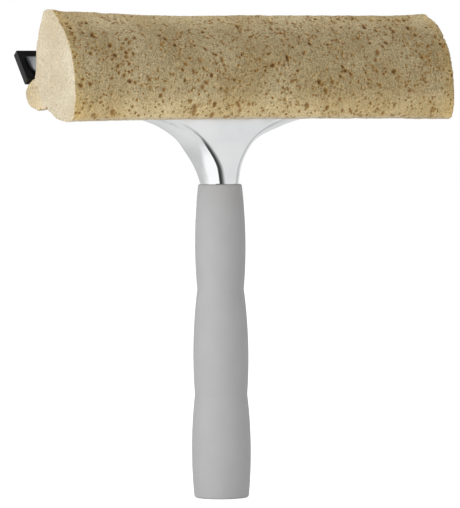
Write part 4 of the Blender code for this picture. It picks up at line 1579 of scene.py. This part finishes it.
@dataclass
class Studio:
    """Camera, lamps, floor and surroundings."""

    azimuth: float = radians(-30.0)
    elevation: float = radians(1.992)
    roll: float = radians(-0.306)
    distance: float = 2.204
    aim_height: float = 0.12895
    aim_right: float = 0.00511
    focal_px: float = 4164.6
    picture_px: int = 508
    sensor: float = 36.0
    clip: Pair = (0.05, 50.0)
    # Brightness of the walls in a reflection, by degrees to the right of the camera's side.
    walls: tuple[Pair, ...] = (
        (-180.0, 0.70), (-150.0, 0.62), (-110.0, 0.60), (-78.0, 0.66), (-70.0, 1.15),
        (-29.0, 1.15), (-21.0, 0.04), (2.0, 0.05), (22.0, 0.22), (40.0, 0.62), (52.0, 0.84),
        (85.0, 0.86), (103.0, 0.56), (118.0, 0.56), (145.0, 0.83), (165.0, 0.80), (180.0, 0.70),
    )
    ceiling: float = 0.12
    ceiling_from: Pair = (0.30, 0.62)
    ground: float = 0.78
    ground_from: Pair = (-0.60, -0.90)
    # Light that the room gives, which is weaker from the camera's side.
    fill: Four = (-0.2, 0.8, 0.55, 0.31)
    floor_size: float = 12.0
    floor_drop: float = 0.2 * MM
    floor_colour: str = "#E9E9E9"
    floor_glow: float = 0.8

    def build(self) -> None:
        """Sets up everything that isn't the object."""
        scene = bpy.context.scene
        scene.view_settings.view_transform = "Standard"
        self.camera()
        self.surroundings()
        self.floor()
        for lamp in Lamp:
            self.lamp(lamp)

    def camera(self) -> None:
        """Long lens, 30 degrees to the left of the sponge side and just above level."""
        right = self.directions()[1]
        level = cos(self.elevation)
        back = Vector((sin(self.azimuth) * level, -cos(self.azimuth) * level, sin(self.elevation)))
        up = back.cross(right)
        level_right = right * cos(self.roll) + up * sin(self.roll)
        level_up = up * cos(self.roll) - right * sin(self.roll)
        data = bpy.data.cameras.new("camera")
        data.sensor_width = self.sensor
        data.lens = self.focal_px * self.sensor / self.picture_px
        data.clip_start, data.clip_end = self.clip
        camera = link_object("camera", data)
        turn = Matrix((level_right, level_up, back)).transposed().to_4x4()
        aim = Vector((0, 0, self.aim_height))
        place = aim + back * self.distance + level_right * self.aim_right
        camera.matrix_world = Matrix.Translation(place) @ turn
        bpy.context.scene.camera = camera

    def directions(self) -> tuple[Vector, Vector]:
        """Level ways from the object to the camera's side and to the camera's right."""
        x, y = cos(self.azimuth), sin(self.azimuth)
        return Vector((y, -x, 0)), Vector((x, y, 0))

    def surroundings(self) -> None:
        """White room. Lit surfaces get its fill, and metal sees its walls, one of them dark."""
        world = bpy.data.worlds.new("white_room")
        bpy.context.scene.world = world
        world.use_nodes = True
        tree = world.node_tree
        tree.nodes.clear()
        rays = add_node(tree, "LightPath").outputs
        direction = add_node(tree, "TexCoord").outputs["Generated"]
        facing, sideways = (
            add_node(tree, "VectorMath", {
                0: direction, 1: way,
            }, operation="DOT_PRODUCT").outputs["Value"]
            for way in self.directions()
        )
        height = add_node(tree, "SeparateXYZ", {0: direction}).outputs["Z"]
        lit = add_node(tree, "MapRange", {
            "Value": facing, **span(self.fill),
        }, interpolation_type="SMOOTHSTEP").outputs["Result"]
        shine = add_node(tree, "Math", {
            0: rays["Is Glossy Ray"], 1: rays["Is Transmission Ray"],
        }, operation="MAXIMUM").outputs[0]
        seen = self.mirrored(tree, facing, sideways, height)
        room = lit
        for share, level in ((shine, seen), (rays["Is Camera Ray"], 1.0)):
            room = add_node(tree, "Mix", {
                "Factor": share, NUMBER_A: room, NUMBER_B: level,
            }, data_type="FLOAT").outputs[NUMBER]
        light = add_node(tree, "Background", {"Color": linear("#FFFFFF"), "Strength": room})
        add_node(tree, "OutputWorld", {"Surface": light.outputs[0]})

    def mirrored(self, tree: Tree, facing: Socket, sideways: Socket, height: Socket) -> Socket:
        """Brightness of the room in a reflection.

        Args:
            tree: The world's node tree.
            facing: How far the direction points to the camera's side.
            sideways: How far it points to the camera's right.
            height: How far it points up.

        Returns:
            The brightness.
        """
        angle = add_node(tree, "Math", {0: sideways, 1: facing}, operation="ARCTAN2").outputs[0]
        turn = add_node(tree, "MapRange", {"Value": angle, **span((-pi, pi))}).outputs["Result"]
        walls = add_node(tree, "ValToRGB", {"Fac": turn})
        set_ramp(walls, [(0.5 + degrees / 360, grey(level)) for degrees, level in self.walls])
        seen = walls.outputs["Color"]
        for limits, level in ((self.ceiling_from, self.ceiling), (self.ground_from, self.ground)):
            share = add_node(tree, "MapRange", {
                "Value": height, **span(limits),
            }, interpolation_type="SMOOTHSTEP").outputs["Result"]
            seen = add_node(tree, "Mix", {
                "Factor": share, NUMBER_A: seen, NUMBER_B: level,
            }, data_type="FLOAT").outputs[NUMBER]
        return seen

    def floor(self) -> None:
        """Pale floor that shows white with the object's shadow."""
        half = self.floor_size / 2
        mesh = bpy.data.meshes.new("studio_floor")
        corners = ((-half, -half), (half, -half), (half, half), (-half, half))
        mesh.from_pydata([(x, y, -self.floor_drop) for x, y in corners], [], [(0, 1, 2, 3)])
        floor = link_object("studio_floor", mesh)
        material = bpy.data.materials.new("pale_floor")
        material.use_nodes = True
        tree = material.node_tree
        tree.nodes.clear()
        seen = add_node(tree, "LightPath").outputs["Is Camera Ray"]
        matt = add_node(tree, "BsdfDiffuse", {"Color": linear(self.floor_colour)})
        glow = add_node(tree, "Math", {0: seen, 1: self.floor_glow}, operation="MULTIPLY")
        light = add_node(tree, "Emission", {"Strength": glow.outputs[0]})
        both = add_node(tree, "AddShader", {0: matt.outputs[0], 1: light.outputs[0]})
        add_node(tree, "OutputMaterial", {"Surface": both.outputs[0]})
        dress(floor, material)
        floor.visible_glossy = False

    def lamp(self, kind: Lamp) -> None:
        """Square soft lamp, which neither the camera nor a reflection sees.

        Args:
            kind: Which lamp.
        """
        place, aim, size, power = kind.value
        data = bpy.data.lights.new("lamp_" + kind.name.lower(), "AREA")
        data.shape = "SQUARE"
        data.size = size
        data.energy = power
        lamp = link_object(data.name, data)
        lamp.location = place
        lamp.rotation_euler = (Vector(place) - Vector(aim)).to_track_quat("Z", "Y").to_euler()
        lamp.visible_camera = False
        lamp.visible_glossy = False


def main() -> None:
    """Dresses each sub-assembly and sets up the studio."""
    logging.basicConfig(level=logging.INFO, format="%(message)s")
    Studio().build()
    for part in (CastHead(), BladeClamp(), Handle(), Backing(), Sponge()):
        part.build()
        LOG.info("dressed %s", type(part).__name__)


if __name__ == "__main__":
    main()
